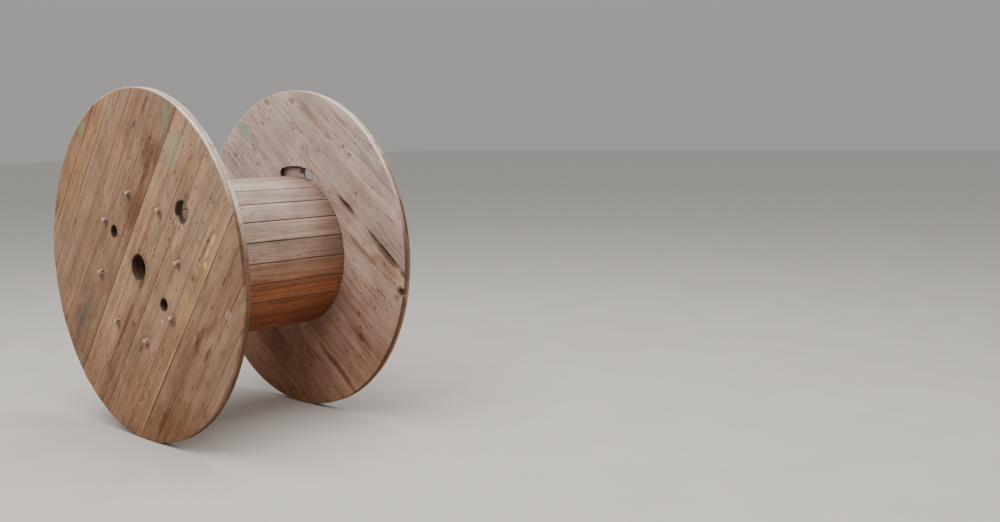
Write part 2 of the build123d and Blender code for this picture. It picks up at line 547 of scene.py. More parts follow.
    @staticmethod
    def _spots(g: Graph, place: Socket) -> Socket:
        """Scatter small dark specks of resin, mould and rusted nail tips over the boards.

        Args:
            g: The graph.
            place: The place in the board.

        Returns:
            The specks, as a share.
        """
        cell = g.cell("2D", "Vector", g.scaled(place, SPECKS))
        size, exists, _ = g.parts(cell.outputs["Color"])
        reach = g.push(cell.outputs["Distance"], g.noise(place, 160.0), 0.18)
        radius = g.calc("MULTIPLY_ADD", size, 0.15, 0.06)
        speck = g.ease(g.calc("DIVIDE", reach, radius), 0.5, 1.15, 1.0, 0.0)
        return g.calc("MULTIPLY", speck, g.ease(exists, 0.66, 0.95))

    @staticmethod
    def _nail_stains(g: Graph, fibre: Socket) -> Socket:
        """Work out the dark streaks along the grain round the nails.

        Args:
            g: The graph.
            fibre: Fine fibres, which fray the streaks.

        Returns:
            The streaks, as a share.
        """
        offset = g.attribute(NAIL, "Vector")
        along, across, near = g.parts(offset)
        reach = g.distance(g.calc("DIVIDE", along, 0.034), g.calc("DIVIDE", across, 0.0055))
        reach = g.push(reach, fibre, 0.9)
        return g.calc("MULTIPLY", g.ease(reach, 0.05, 1.0, 0.45, 0.0), g.ease(near, 0.015, 0.021, 1.0, 0.0))

    def _seams(self, g: Graph, color: Socket, fibre: Socket) -> Socket:
        """Darken the wood beside the seams, on the boards' edges, and round and in the holes with dirt and
        painted shade.

        Args:
            g: The graph.
            color: The colour so far.
            fibre: Fine fibres, which fray the dirt.

        Returns:
            The dirty colour.
        """
        margin = g.attribute(MARGIN, "Fac")
        near = g.calc("MULTIPLY_ADD", fibre, -0.003, margin)
        near = g.ease(near, -0.001, self.seam_reach, self.seam_dirt, 0.0)
        # Round each hole and down its walls the wood is darkened, partly as dirt and partly as painted shade
        hole = g.calc("MULTIPLY_ADD", fibre, -0.005, g.attribute(HOLE, "Fac"))
        color = g.mix(near, color, self.dirt)
        hole_dirt_and_shade = tuple(0.6 * part for part in self.dirt)
        return g.mix(g.ease(hole, -0.001, 0.006, 0.95, 0.0), color, hole_dirt_and_shade)

    def _rim_highlight_and_bore_shade(self, g: Graph, color: Socket, spot: Socket, fibre: Socket) -> Socket:
        """Paint a highlight along the upper rim's edge, and paint shade round the bore.

        Args:
            g: The graph.
            color: The colour so far.
            spot: The place on the drum.
            fibre: Fine fibres, which fray the edges.

        Returns:
            The worn colour.
        """
        beside = g.vector("SUBTRACT", spot, (0.0, 0.0, self.height))
        reach = g.vector("LENGTH", g.scaled(beside, (0.0, 1.0, 1.0)), out="Value")
        frayed = g.push(reach, fibre, 0.004)
        # A painted highlight along the top of the rim
        if self.rim_radius:
            edge = g.ease(frayed, self.rim_radius - 0.007, self.rim_radius - 0.003)
            edge = g.calc("MULTIPLY", edge, g.ease(g.parts(beside)[2], 0.25, 0.6, 0.0, 0.7))
            color = g.mix(edge, color, self.end)
        # Painted shade on the wood round the bore
        if self.bore_radius:
            dark = g.ease(frayed, self.bore_radius, self.bore_radius + 0.02, 0.92, 0.0)
            color = g.mix(dark, color, self.dirt)
        return color

    def _marks(self, g: Graph, color: Socket, spot: Socket) -> Socket:
        """Lay the placed stains, with the painted light and shadow among them, and the rust round the rods on
        the wood.

        Args:
            g: The graph.
            color: The colour so far.
            spot: The place on the drum.

        Returns:
            The stained colour.
        """
        sine, cosine = math.sin(self.turn), math.cos(self.turn)
        mapping = {"Vector": spot, "Rotation": (-self.turn, 0.0, 0.0)}
        mapping["Location"] = (0.0, -self.height * sine, -self.height * cosine)
        layer = g.add("ShaderNodeMapping", mapping)
        fray = g.noise(g.scaled(layer, STAIN_FRAY), 1.0, 3.0)
        for stain in self.stains:
            centre = g.vector("SUBTRACT", layer, (self.face_x, stain.along, stain.across))
            if stain.lean:
                centre = g.add("ShaderNodeMapping", {"Vector": centre, "Rotation": (stain.lean, 0.0, 0.0)})
            share = g.scaled(centre, (1.0 / stain.depth, 1.0 / stain.half_length, 1.0 / stain.half_width))
            reach = g.vector("LENGTH", share, out="Value")
            reach = g.push(reach, fray, 2.4 * stain.ragged)
            mask = g.ease(reach, 0.45, 1.1, stain.strength, 0.0)
            color = g.mix(mask, color, stain.color, stain.kind.value)
        if self.bolts:
            color = g.mix(self._rust(g, spot, fray), color, self.dirt)
        return color

    def _rust(self, g: Graph, spot: Socket, fray: Socket) -> Socket:
        """Return the dark rust round the rods, which runs down the boards.

        Args:
            g: The graph.
            spot: The place on the drum.
            fray: Noise that frays the rust's edge.

        Returns:
            The share of rust.
        """
        run = (1.0, 1.0, 0.6)
        place = g.scaled(spot, run)
        nearest = None
        for x, y, z in self.bolts:
            centre = (x * run[0], y * run[1], (z - 0.012) * run[2])
            reach = g.vector("DISTANCE", place, centre, out="Value")
            nearest = reach if nearest is None else g.calc("MINIMUM", nearest, reach)
        return g.ease(g.push(nearest, fray, 0.045), 0.008, 0.026, 0.55, 0.0)


@dataclass(frozen=True)
class Steel:
    """Hot-dip galvanised steel that has gone dull, with rust where the zinc has worn through."""

    name: str
    zinc: Color = (0.48, 0.375, 0.305)
    bloom: Color = (0.66, 0.535, 0.45)
    rust: Color = (0.20, 0.085, 0.035)
    rusted: float = 0.38

    def build(self) -> Material:
        """Make the material.

        Returns:
            The finished material.
        """
        material, g, shader = new_material(self.name)
        spot = g.add("ShaderNodeTexCoord", out="Object")
        patches = g.noise(spot, 60.0, 4.0, 0.6)
        grains = g.noise(spot, 420.0, 3.0, 0.6)
        rust = g.ease(patches, 1.0 - self.rusted - 0.06, 1.0 - self.rusted + 0.08)
        color = g.mix(g.ease(grains, 0.4, 0.65), self.zinc, self.bloom)
        worn = g.mix(grains, self.rust, tuple(0.45 * part for part in self.rust))
        g.feed(shader.inputs["Base Color"], g.mix(rust, color, worn))
        g.feed(shader.inputs["Metallic"], g.ease(rust, 0.0, 0.6, 0.5, 0.0))
        g.feed(shader.inputs["Roughness"], g.ease(g.calc("ADD", rust, grains), 0.3, 1.3, 0.42, 0.88))
        g.relief(shader, g.calc("MULTIPLY_ADD", rust, grains, grains), 0.6, 0.0004)
        return material


@dataclass(frozen=True)
class Floor:
    """A plain pale studio floor."""

    name: str
    color: Color

    def build(self) -> Material:
        """Make the material.

        Returns:
            The finished material.
        """
        material, g, shader = new_material(self.name)
        grain = g.noise(g.add("ShaderNodeTexCoord", out="Object"), 3.0, 4.0)
        g.feed(shader.inputs["Base Color"], g.shade(self.color, g.ease(grain, 0.3, 0.7, 0.97, 1.02)))
        shader.inputs["Roughness"].default_value = 0.9
        shader.inputs["Specular IOR Level"].default_value = 0.2
        return material


def new_object(name: str, shape: Shape) -> Thing:
    """Make a mesh object at the origin.

    Args:
        name: The object's name.
        shape: Its points and faces.

    Returns:
        The object, linked to the scene.
    """
    points, faces = shape
    mesh = bpy.data.meshes.new(name)
    mesh.from_pydata(points.tolist(), [], faces)
    mesh.validate()
    thing = bpy.data.objects.new(name, mesh)
    bpy.context.scene.collection.objects.link(thing)
    return thing


def joined(shapes: Iterable[Shape]) -> Shape:
    """Put several shapes into one.

    Args:
        shapes: The shapes.

    Returns:
        One shape with all their points and faces.
    """
    points: list[Array] = []
    faces: list[tuple[int, ...]] = []
    start = 0
    for shape_points, shape_faces in shapes:
        points.append(shape_points)
        faces.extend(tuple(corner + start for corner in face) for face in shape_faces)
        start += len(shape_points)
    return np.concatenate(points), faces


def settle(thing: Thing) -> None:
    """Turn an object's mesh and modifiers into one plain mesh.

    Args:
        thing: The object.
    """
    graph = bpy.context.evaluated_depsgraph_get()
    mesh = bpy.data.meshes.new_from_object(
        thing.evaluated_get(graph), preserve_all_data_layers=True, depsgraph=graph
    )
    mesh.name = thing.name
    thing.modifiers.clear()
    thing.data = mesh


def smooth(thing: Thing, crease_degrees: float) -> None:
    """Shade an object smooth, apart from its creases."""
    thing.data.shade_smooth()
    thing.data.set_sharp_from_angle(angle=math.radians(crease_degrees))


def cut_away(thing: Thing, cutter: Shape) -> None:
    """Take a closed shape out of an object.

    Args:
        thing: The object that is cut.
        cutter: The shape that is taken away.
    """
    tool = new_object("cutter", cutter)
    modifier = thing.modifiers.new("cut", "BOOLEAN")
    modifier.operation = "DIFFERENCE"
    modifier.solver = "MANIFOLD"
    modifier.object = tool
    settle(thing)
    bpy.data.objects.remove(tool)


def write_attribute(thing: Thing, name: str, values: Array) -> None:
    """Write an attribute of the mesh, from a number or a row of three for each point."""
    kind, key = ("FLOAT_VECTOR", "vector") if values.ndim == 2 else ("FLOAT", "value")
    thing.data.attributes.new(name, kind, "POINT").data.foreach_set(key, values.astype(np.float32).ravel())


def mesh_points(thing: Thing) -> Array:
    """Read the points of an object's mesh.

    Args:
        thing: The object.

    Returns:
        The points as rows.
    """
    points = np.empty(len(thing.data.vertices) * 3, np.float32)
    thing.data.vertices.foreach_get("co", points)
    return points.reshape(-1, 3).astype(float)


def ride(thing: Thing, slot: str, material: Material, *nodes: str) -> None:
    """Finish a piece and fix it to the drum.

    Args:
        thing: The piece.
        slot: The record's material slot, which is not used.
        material: The piece's material.
        *nodes: The nodes that it stands for.
    """
    thing.data.materials.clear()
    thing.data.materials.append(material)
    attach(thing, "root")
    if nodes:
        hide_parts(*nodes)
    log.info("%s: %d faces", thing.name, len(thing.data.polygons))


@dataclass(frozen=True)
class Timber:
    """The rounded edges and the fineness of a sawn board."""

    arris: float
    cells_along: int
    cells_across: int
    arris_steps: int = 3

    def block(self, place: Placing, top: Heights, bottom: Heights) -> Shape:
        """Build a closed board with rounded arrises.

        Args:
            place: Gives the place along and across for shares along and across, and an inset from the edges.
            top: Gives the height of the upper face above the lower plane for places along and across.
            bottom: Gives the height of the lower face in the same way.

        Returns:
            The board, with its points as rows of along, across and height.
        """
        turns = np.radians(np.linspace(0.0, 90.0, self.arris_steps + 1))
        insets = self.arris * (1.0 - np.sin(turns))
        drops = self.arris * (1.0 - np.cos(turns))
        rows, columns = self.cells_along + 1, self.cells_across + 1
        along_shares, across_shares = np.linspace(-1, 1, rows), np.linspace(0, 1, columns)
        share_along, share_across = np.meshgrid(along_shares, across_shares, indexing="ij")
        grid = np.arange(rows * columns).reshape(rows, columns)
        loop = np.concatenate((grid[:, 0], grid[-1, 1:], grid[-2::-1, -1], grid[0, -2:0:-1]))
        sheets: list[Array] = []

        def sheet(step: int, upper: bool, whole: bool) -> None:
            """Add the points of one level of the board.

            Args:
                step: The level's step down the arris.
                upper: Whether it belongs to the upper arris.
                whole: Whether it is a whole face, or only the loop round it.
            """
            along, across = place(share_along.ravel(), share_across.ravel(), insets[step])
            height = top(along, across) - drops[step] if upper else bottom(along, across) + drops[step]
            points = np.column_stack((along, across, height))
            sheets.append(points if whole else points[loop])

        sheet(0, True, True)
        for step in range(1, self.arris_steps + 1):
            sheet(step, True, False)
        for step in range(self.arris_steps, 0, -1):
            sheet(step, False, False)
        sheet(0, False, True)

        faces: list[tuple[int, ...]] = []
        quads = np.stack((grid[:-1, :-1], grid[1:, :-1], grid[1:, 1:], grid[:-1, 1:]), axis=-1).reshape(-1, 4)
        faces.extend(map(tuple, quads.tolist()))
        count, size, loops = len(loop), rows * columns, 2 * self.arris_steps
        lower = size + loops * count
        rings = [loop] + [size + step * count + np.arange(count) for step in range(loops)] + [lower + loop]
        for above, below in zip(rings, rings[1:]):
            wall = np.stack((above, below, np.roll(below, -1), np.roll(above, -1)), axis=-1)
            faces.extend(map(tuple, wall.tolist()))
        faces.extend(map(tuple, (lower + quads[:, ::-1]).tolist()))
        return np.concatenate(sheets), faces


@dataclass(frozen=True)
class Hole:
    """A hole right through a layer, round or a slot bent round the axle."""

    ring: float
    angle: float
    radius: float
    arc: float = 0.0
    worn: float = 0.0015
    sides: int = 56
    rough: float = 0.0004
    worn_swing: float = 0.45

    def outline(self, grow: float) -> Array:
        """Draw the hole's edge.

        Args:
            grow: How far outside the hole's own edge it is drawn.

        Returns:
            Rows of places beside and above the axle.
        """
        reach = self.radius + grow
        start, end = self.angle - self.arc / 2, self.angle + self.arc / 2
        kept = slice(None, None if self.arc else -1)
        points: list[tuple[float, float]] = []
        for centre, opposite, first, rail in (
            (end, start, end, self.ring - reach), (start, end, start + math.pi, self.ring + reach),
        ):
            y, z = self.ring * math.cos(centre), self.ring * math.sin(centre)
            for turn in np.linspace(first, first + math.pi, self.sides // 2 + 1)[kept]:
                points.append((y + reach * math.cos(turn), z + reach * math.sin(turn)))
            if self.arc:
                for turn in np.linspace(centre, opposite, SLOT_POINTS)[1:-1]:
                    points.append((rail * math.cos(turn), rail * math.sin(turn)))
        return np.array(points)

    def cutter(self, start_x: float, end_x: float, height: float, rng: Random) -> Shape:
        """Build the shape that is taken out, with worn edges at both faces.

        Args:
            start_x: The lower face of the layer.
            end_x: The upper face of the layer.
            height: The axle's height.
            rng: The source of the wear.

        Returns:
            The closed cutter.
        """
        steps = (
            (start_x - OVERRUN, self.worn), (start_x, self.worn), (start_x + self.worn, 0.0),
            (end_x - self.worn, 0.0), (end_x, self.worn), (end_x + OVERRUN, self.worn),
        )
        count = len(self.outline(0.0))
        phases = rng.uniform(0, math.tau, len(WEAR_WAVES))
        turns = np.linspace(0, math.tau, count, endpoint=False)
        ragged = sum(np.sin(turns * wave + phase) / wave for wave, phase in zip(WEAR_WAVES, phases))
        points = []
        for x, grow in steps:
            edge = self.outline(grow)
            middle = edge.mean(axis=0)
            out = edge - middle
            wear = (self.rough + grow * self.worn_swing) * ragged[:, None]
            edge = edge + wear * out / np.linalg.norm(out, axis=1)[:, None]
            points.append(np.column_stack((np.full(count, x), edge[:, 0], edge[:, 1] + height)))
        faces: list[tuple[int, ...]] = [tuple(range(count - 1, -1, -1))]
        for step in range(len(steps) - 1):
            for side in range(count):
                near, following = step * count + side, step * count + (side + 1) % count
                faces.append((near, following, following + count, near + count))
        faces.append(tuple(range((len(steps) - 1) * count, len(steps) * count)))
        return np.concatenate(points), faces

    def margin(self, y: Array, z: Array) -> Array:
        """Measure how far places lie outside the hole.

        Args:
            y: The places beside the axle.
            z: The places above the axle.

        Returns:
            The distances, below zero inside the hole.
        """
        turns = np.linspace(self.angle - self.arc / 2, self.angle + self.arc / 2, 7)
        reach = [np.hypot(y - self.ring * math.cos(t), z - self.ring * math.sin(t)) for t in turns]
        return np.min(reach, axis=0) - self.radius


@dataclass(frozen=True)
class Scar:
    """A crack, notch or gouge, as an outline along and across the boards, from the face down to a depth."""

    outline: tuple[tuple[float, float], ...]
    depth: float = 1.0


@dataclass(frozen=True)
class Crack:
    """A ragged opening along the grain: a drying crack, a broken edge or torn wood."""

    start: float
    end: float
    across: float
    width: float
    depth: float = 1.0
    points: int = 9
    rough: float = 0.35

    def scar(self, rng: Random) -> Scar:
        """Draw the crack's outline.

        Args:
            rng: The source of its ragged edges.

        Returns:
            The scar that it leaves.
        """
        shares = np.linspace(0, 1, self.points)
        along = self.start + (self.end - self.start) * shares
        along[1:-1] += rng.uniform(-0.3, 0.3, self.points - 2) * (self.end - self.start) / self.points
        half = self.width / 2 * np.sin(np.pi * np.clip(shares, 0.03, 0.97)) ** 0.6
        middle = self.across + np.cumsum(rng.uniform(-0.3, 0.3, self.points)) * self.width * self.rough
        upper = middle + half * rng.uniform(1 - self.rough, 1 + self.rough, self.points)
        lower = middle - half * rng.uniform(1 - self.rough, 1 + self.rough, self.points)
        outline = list(zip(along, upper)) + list(zip(along[::-1], lower[::-1]))
        return Scar(tuple(outline), self.depth)


@dataclass
class BoardLayer:
    """One layer of a flange: boards side by side, sawn to a disc."""

    piece: str
    node: str
    slot: str
    turn: float
    widths: tuple[float, ...]
    joint_x: float
    face_x: float
    radius: float
    height: float
    holes: tuple[Hole, ...]
    seed: int
    tones: tuple[float, ...] = ()
    cracks: tuple[Crack, ...] = ()
    open_seams: tuple[int, ...] = ()
    arris: float = 0.0012
    seam_gaps: tuple[float, float] = (0.0002, 0.0010)
    open_gap: float = 0.0026
    end_shortfall: float = 0.0009
    end_lift: float = 0.0022
    level_spread: float = 0.0009
    split_chance: float = 0.45
    split_mouth: tuple[float, float] = (0.0012, 0.003)
    split_length: tuple[float, float] = (0.03, 0.12)
    split_drift: float = 0.004
    split_clearance: float = 0.02
    split_overrun: float = 0.012
    scar_overrun: float = 0.01
    rim_inset: float = 0.0004
    cup_spread: float = 0.001
    bow_height: float = 0.0004
    lift_reach: float = 0.16
    floor_fade: float = 0.08
    edge_sway: float = 0.3
    cells: tuple[int, int] = (72, 10)
    nail_share: float = 0.42
    edges: Array = field(init=False)

    def __post_init__(self) -> None:
        """Work out the seams."""
        places = [-self.radius]
        for width in cycle(self.widths):
            if places[-1] + width >= self.radius:
                break
            places.append(places[-1] + width)
        self.edges = np.array(places + [self.radius])

    @property
    def outward(self) -> float:
        """The direction of the face that shows, along X."""
        return 1.0 if self.face_x > self.joint_x else -1.0

    @property
    def thickness(self) -> float:
        """The boards' thickness."""
        return abs(self.face_x - self.joint_x)

    def to_drum(self, along: Array, across: Array, up: Array) -> Array:
        """Turn places in the layer into places on the drum.

        Args:
            along: The places along the boards.
            across: The places across them.
            up: The heights above the joint between the flange's layers.

        Returns:
            Rows of places on the drum.
        """
        sine, cosine = math.sin(self.turn), math.cos(self.turn)
        y = along * cosine - across * sine
        z = self.height + along * sine + across * cosine
        return np.column_stack((self.joint_x + self.outward * up, y, z))

    def to_layer(self, points: Array) -> tuple[Array, Array, Array]:
        """Turn places on the drum into places in the layer.

        Args:
            points: Rows of places on the drum.

        Returns:
            The places along, across and above the joint between the flange's layers.
        """
        sine, cosine = math.sin(self.turn), math.cos(self.turn)
        y, z = points[:, 1], points[:, 2] - self.height
        return y * cosine + z * sine, z * cosine - y * sine, (points[:, 0] - self.joint_x) * self.outward

    def board(self, index: int, gaps: Array, rng: Random) -> Shape:
        """Build one board of the layer.

        Args:
            index: The board's number from the layer's low side.
            gaps: The width of the gap at each seam.
            rng: The source of its unevenness.

        Returns:
            The board in the drum's frame.
        """
        radius = self.radius
        limit = radius - self.rim_inset
        low = max(self.edges[index] + gaps[index] / 2, -limit)
        high = min(self.edges[index + 1] - gaps[index + 1] / 2, limit)
        level = rng.uniform(-0.25, 1.0) * self.level_spread
        cup = rng.uniform(-0.7, 0.7) * self.cup_spread
        bow_phases = rng.uniform(0, math.tau, len(SWAY_WAVES))
        edge_phases = rng.uniform(0, math.tau, (2, len(SWAY_WAVES)))
        short = rng.uniform(0.0, self.end_shortfall, 2)
        slope = rng.uniform(-0.4, 0.4, 2) * self.end_shortfall
        lift = rng.uniform(0.0, 1.0, 2) ** 2 * self.end_lift
        middle, half = (low + high) / 2, (high - low) / 2
        give = self.edge_sway * min(gaps[index], gaps[index + 1])

        def waves(along: Array, phases: Array) -> Array:
            """Return a slow sway along the board, between -1 and 1."""
            return sum(np.sin(along * k + phase) for k, phase in zip(SWAY_WAVES, phases)) / len(SWAY_WAVES)

        def place(share_along: Array, share_across: Array, inset: float) -> Marks:
            """Place points in the board's outline, which the disc's rim cuts.

            Args:
                share_along: The shares along the board, from -1 to 1.
                share_across: The shares across it, from 0 to 1.
                inset: How far inside the board's edges they lie.

            Returns:
                The places along and across.
            """
            first, last = math.asin((low + inset) / radius), math.asin((high - inset) / radius)
            across = radius * np.sin(first + (last - first) * share_across)
            reach = np.sqrt(radius**2 - across**2)
            side = (share_along > 0).astype(int)
            loss = short[side] + slope[side] * (2 * share_across - 1)
            rise = math.sin(self.turn) * np.sign(share_along) * reach
            ground = self.height + rise + math.cos(self.turn) * across
            loss = np.clip(loss, 0.0, None) * np.clip(ground / self.floor_fade, 0.0, 1.0)
            along = share_along * (reach - inset - loss)
            low_sway, high_sway = waves(along, edge_phases[0]), waves(along, edge_phases[1])
            return along, across + give * (low_sway * (1 - share_across) + high_sway * share_across)

        def raised(along: Array, across: Array) -> Array:
            """Return how far the board's ends have come away from the layer under them."""
            past = np.abs(along) - np.sqrt(np.clip(radius**2 - across**2, 1e-6, None)) + self.lift_reach
            return lift[(along > 0).astype(int)] * np.clip(past / self.lift_reach, 0, 1) ** 2

        def top(along: Array, across: Array) -> Array:
            """Return the height of the cupped and bowed upper face."""
            sag, bow = cup * (2 * ((across - middle) / half) ** 2 - 0.7), waves(along, bow_phases)
            return self.thickness + level + sag + self.bow_height * bow + raised(along, across)

        points, faces = Timber(self.arris, *self.cells).block(place, top, raised)
        points = self.to_drum(points[:, 0], points[:, 1], points[:, 2])
        if self.outward < 0:
            faces = [face[::-1] for face in faces]
        return points, faces

    def splits(self, rng: Random) -> list[Scar]:
        """Draw drying cracks in the ends of some boards.

        Args:
            rng: The source of their places and sizes.

        Returns:
            The cracks.
        """
        found = []
        clear, past = self.split_clearance, self.split_overrun
        for low, high in zip(self.edges[1:-2], self.edges[2:-1]):
            for side in (-1.0, 1.0):
                if rng.random() > self.split_chance:
                    continue
                across = rng.uniform(low + clear, high - clear)
                beside = [crack.across for crack in self.cracks if side * crack.start > 0]
                if any(abs(across - other) < clear for other in beside):
                    continue
                mouth, length = rng.uniform(*self.split_mouth), rng.uniform(*self.split_length)
                drift = rng.uniform(-self.split_drift, self.split_drift)
                rim = side * (math.sqrt(self.radius**2 - across**2) + past)
                inner = rim - side * (length + past)
                half_way = (rim + inner) / 2
                found.append(Scar((
                    (rim, across - mouth / 2), (rim, across + mouth / 2),
                    (half_way, across + drift * 0.3 + mouth * 0.35), (inner, across + drift),
                    (half_way, across + drift * 0.3 - mouth * 0.2),
                )))
        return found

    def scar_cutter(self, scar: Scar) -> Shape:
        """Build the shape that a scar takes out of the boards.

        Args:
            scar: The scar.

        Returns:
            The closed cutter.
        """
        outline = np.array(scar.outline)
        across_steps = np.roll(outline, -1, axis=0)
        area = np.sum(outline[:, 0] * across_steps[:, 1] - across_steps[:, 0] * outline[:, 1])
        if area < 0:
            outline = outline[::-1]
        count = len(outline)
        levels = (max(self.thickness - scar.depth, -self.scar_overrun), self.thickness + self.scar_overrun)
        points = [self.to_drum(outline[:, 0], outline[:, 1], np.full(count, level)) for level in levels]
        if self.outward < 0:
            points.reverse()
        faces: list[tuple[int, ...]] = [tuple(range(count - 1, -1, -1)), tuple(range(count, 2 * count))]
        faces.extend((k, (k + 1) % count, count + (k + 1) % count, count + k) for k in range(count))
        return np.concatenate(points), faces

    def nail_offsets(self, points: Array, nails: Array) -> Array:
        """Find the nearest nail for each point.

        Args:
            points: Places on the drum.
            nails: The places of the layer's nails.

        Returns:
            Rows of the way along, the way across, and how near the nail is.
        """
        nail_along, nail_across, _ = self.to_layer(nails)
        along, across, _ = self.to_layer(points)
        tree = KDTree(len(nails))
        for index, (first, second) in enumerate(zip(nail_along / NAIL_STRETCH, nail_across)):
            tree.insert((first, second, 0.0), index)
        tree.balance()
        found = [tree.find((first, second, 0.0))[1:] for first, second in zip(along / NAIL_STRETCH, across)]
        nearest = np.array([index for index, _ in found])
        near = np.array([distance for _, distance in found])
        return np.column_stack((nail_along[nearest] - along, nail_across[nearest] - across, near))

    def dress(self, thing: Thing, nails: Array, rng: Random) -> None:
        """Write each board's own coordinates, seed and tone on the mesh.

        Args:
            thing: The layer's object.
            nails: The places of the layer's nails.
            rng: The source of the seeds and tones.
        """
        points = mesh_points(thing)
        write_attribute(thing, NAIL, self.nail_offsets(points, nails))
        along, across, up = self.to_layer(points)
        index = np.clip(np.searchsorted(self.edges, across) - 1, 0, len(self.edges) - 2)
        middles = (self.edges[1:] + self.edges[:-1]) / 2
        seeds = rng.uniform(0, 1, len(middles))
        tones = np.array(self.tones) if self.tones else rng.uniform(-0.8, 0.8, len(middles))
        write_attribute(thing, PLACE, np.column_stack((along, across - middles[index], up)))
        write_attribute(thing, SEED, seeds[index])
        write_attribute(thing, TONE, tones[index])
        nearest = np.minimum(np.minimum(across - self.edges[index], self.edges[index + 1] - across), up)
        write_attribute(thing, MARGIN, np.clip(nearest, 0, 1))
        y, z = points[:, 1], points[:, 2] - self.height
        write_attribute(thing, HOLE, np.min([hole.margin(y, z) for hole in self.holes], axis=0))
        axis = (0.0, math.cos(self.turn), math.sin(self.turn))
        write_attribute(thing, AXIS, np.tile(axis, (len(points), 1)))

    def build(self, material: Material, nails: Array) -> None:
        """Build the layer and fix it to the drum.

        Args:
            material: The boards' finish.
            nails: The places of the layer's nails.
        """
        rng = np.random.default_rng(self.seed)
        gaps = rng.uniform(*self.seam_gaps, len(self.edges))
        gaps[list(self.open_seams)] = self.open_gap
        thing = new_object(self.piece, joined(self.board(k, gaps, rng) for k in range(len(self.edges) - 1)))
        start_x, end_x = sorted((self.joint_x, self.face_x))
        cut_away(thing, joined(hole.cutter(start_x, end_x, self.height, rng) for hole in self.holes))
        scars = [crack.scar(rng) for crack in self.cracks] + self.splits(rng)
        cut_away(thing, joined(self.scar_cutter(scar) for scar in scars))
        self.dress(thing, nails, rng)
        smooth(thing, WOOD_CREASE)
        ride(thing, self.slot, material, self.node)


def node_inputs(tree: Tree, kinds: dict[str, str]) -> Node:
    """Give a geometry tree its named inputs.

    Args:
        tree: The geometry tree.
        kinds: Each input's name, with its socket type.

    Returns:
        The group's input node.
    """
    tree.interface.new_socket("Geometry", in_out="OUTPUT", socket_type="NodeSocketGeometry")
    tree.interface.new_socket("Geometry", in_out="INPUT", socket_type="NodeSocketGeometry")
    for name, kind in kinds.items():
        tree.interface.new_socket(name, in_out="INPUT", socket_type=f"NodeSocket{kind}")
    return tree.nodes.new("NodeGroupInput")


def ring_tree() -> Tree:
    """Make the Geometry Nodes that turn copies of one piece round the axle line.

    Returns:
        The geometry tree.
    """
    tree = bpy.data.node_groups.new("copies_round_the_axle", "GeometryNodeTree")
    g = Graph(tree)
    given = node_inputs(tree, {
        "Count": "Int", "Ring Radius": "Float", "Turn": "Float", "Axle Height": "Float",
        "Spin": "Float", "Looseness": "Float", "Warp": "Float", "Seed": "Int", "Finish": "Material",
    }).outputs
    index = g.add("GeometryNodeInputIndex")

    def chance(low: Any, high: Any, more: int) -> Socket:
        """Return a random number for each copy, from the seed and a number added to it."""
        inputs = {"Min": low, "Max": high, "Seed": g.calc("ADD", given["Seed"], float(more))}
        return g.add("FunctionNodeRandomValue", inputs, out="Value", data_type="FLOAT")

    angle = g.calc("MULTIPLY_ADD", index, g.calc("DIVIDE", math.tau, given["Count"]), given["Turn"])
    loose = chance(g.calc("MULTIPLY", given["Looseness"], -1.0), given["Looseness"], 1)
    reach = g.calc("ADD", given["Ring Radius"], loose)
    place = g.add("ShaderNodeCombineXYZ", {
        "Y": g.calc("MULTIPLY", g.calc("COSINE", angle), reach),
        "Z": g.calc("MULTIPLY_ADD", g.calc("SINE", angle), reach, given["Axle Height"]),
    })
    points = g.add("GeometryNodePoints", {"Count": given["Count"], "Position": place})
    spin = chance(g.calc("MULTIPLY", given["Spin"], -1.0), given["Spin"], 2)
    turn = g.calc("ADD", g.calc("SUBTRACT", angle, math.pi / 2), spin)
    turn = g.add("FunctionNodeEulerToRotation", {"Euler": g.add("ShaderNodeCombineXYZ", {"X": turn})})
    copies = g.add("GeometryNodeInstanceOnPoints", {
        "Points": points, "Instance": given["Geometry"], "Rotation": turn,
    })
    for name, low, high, more in ((SEED, 0.0, 1.0, 3), (TONE, -0.8, 0.8, 4)):
        copies = g.add("GeometryNodeStoreNamedAttribute", {
            "Geometry": copies, "Name": name, "Value": chance(low, high, more),
        }, data_type="FLOAT", domain="INSTANCE")
    solid = g.add("GeometryNodeRealizeInstances", {"Geometry": copies})
    bend = g.wander(g.add("GeometryNodeInputPosition"), 3.5, 1.0, given["Warp"])
    solid = g.add("GeometryNodeSetPosition", {"Geometry": solid, "Offset": bend})
    solid = g.add("GeometryNodeSetMaterial", {"Geometry": solid, "Material": given["Finish"]})
    g.feed(tree.nodes.new("NodeGroupOutput").inputs[0], solid)
    return tree


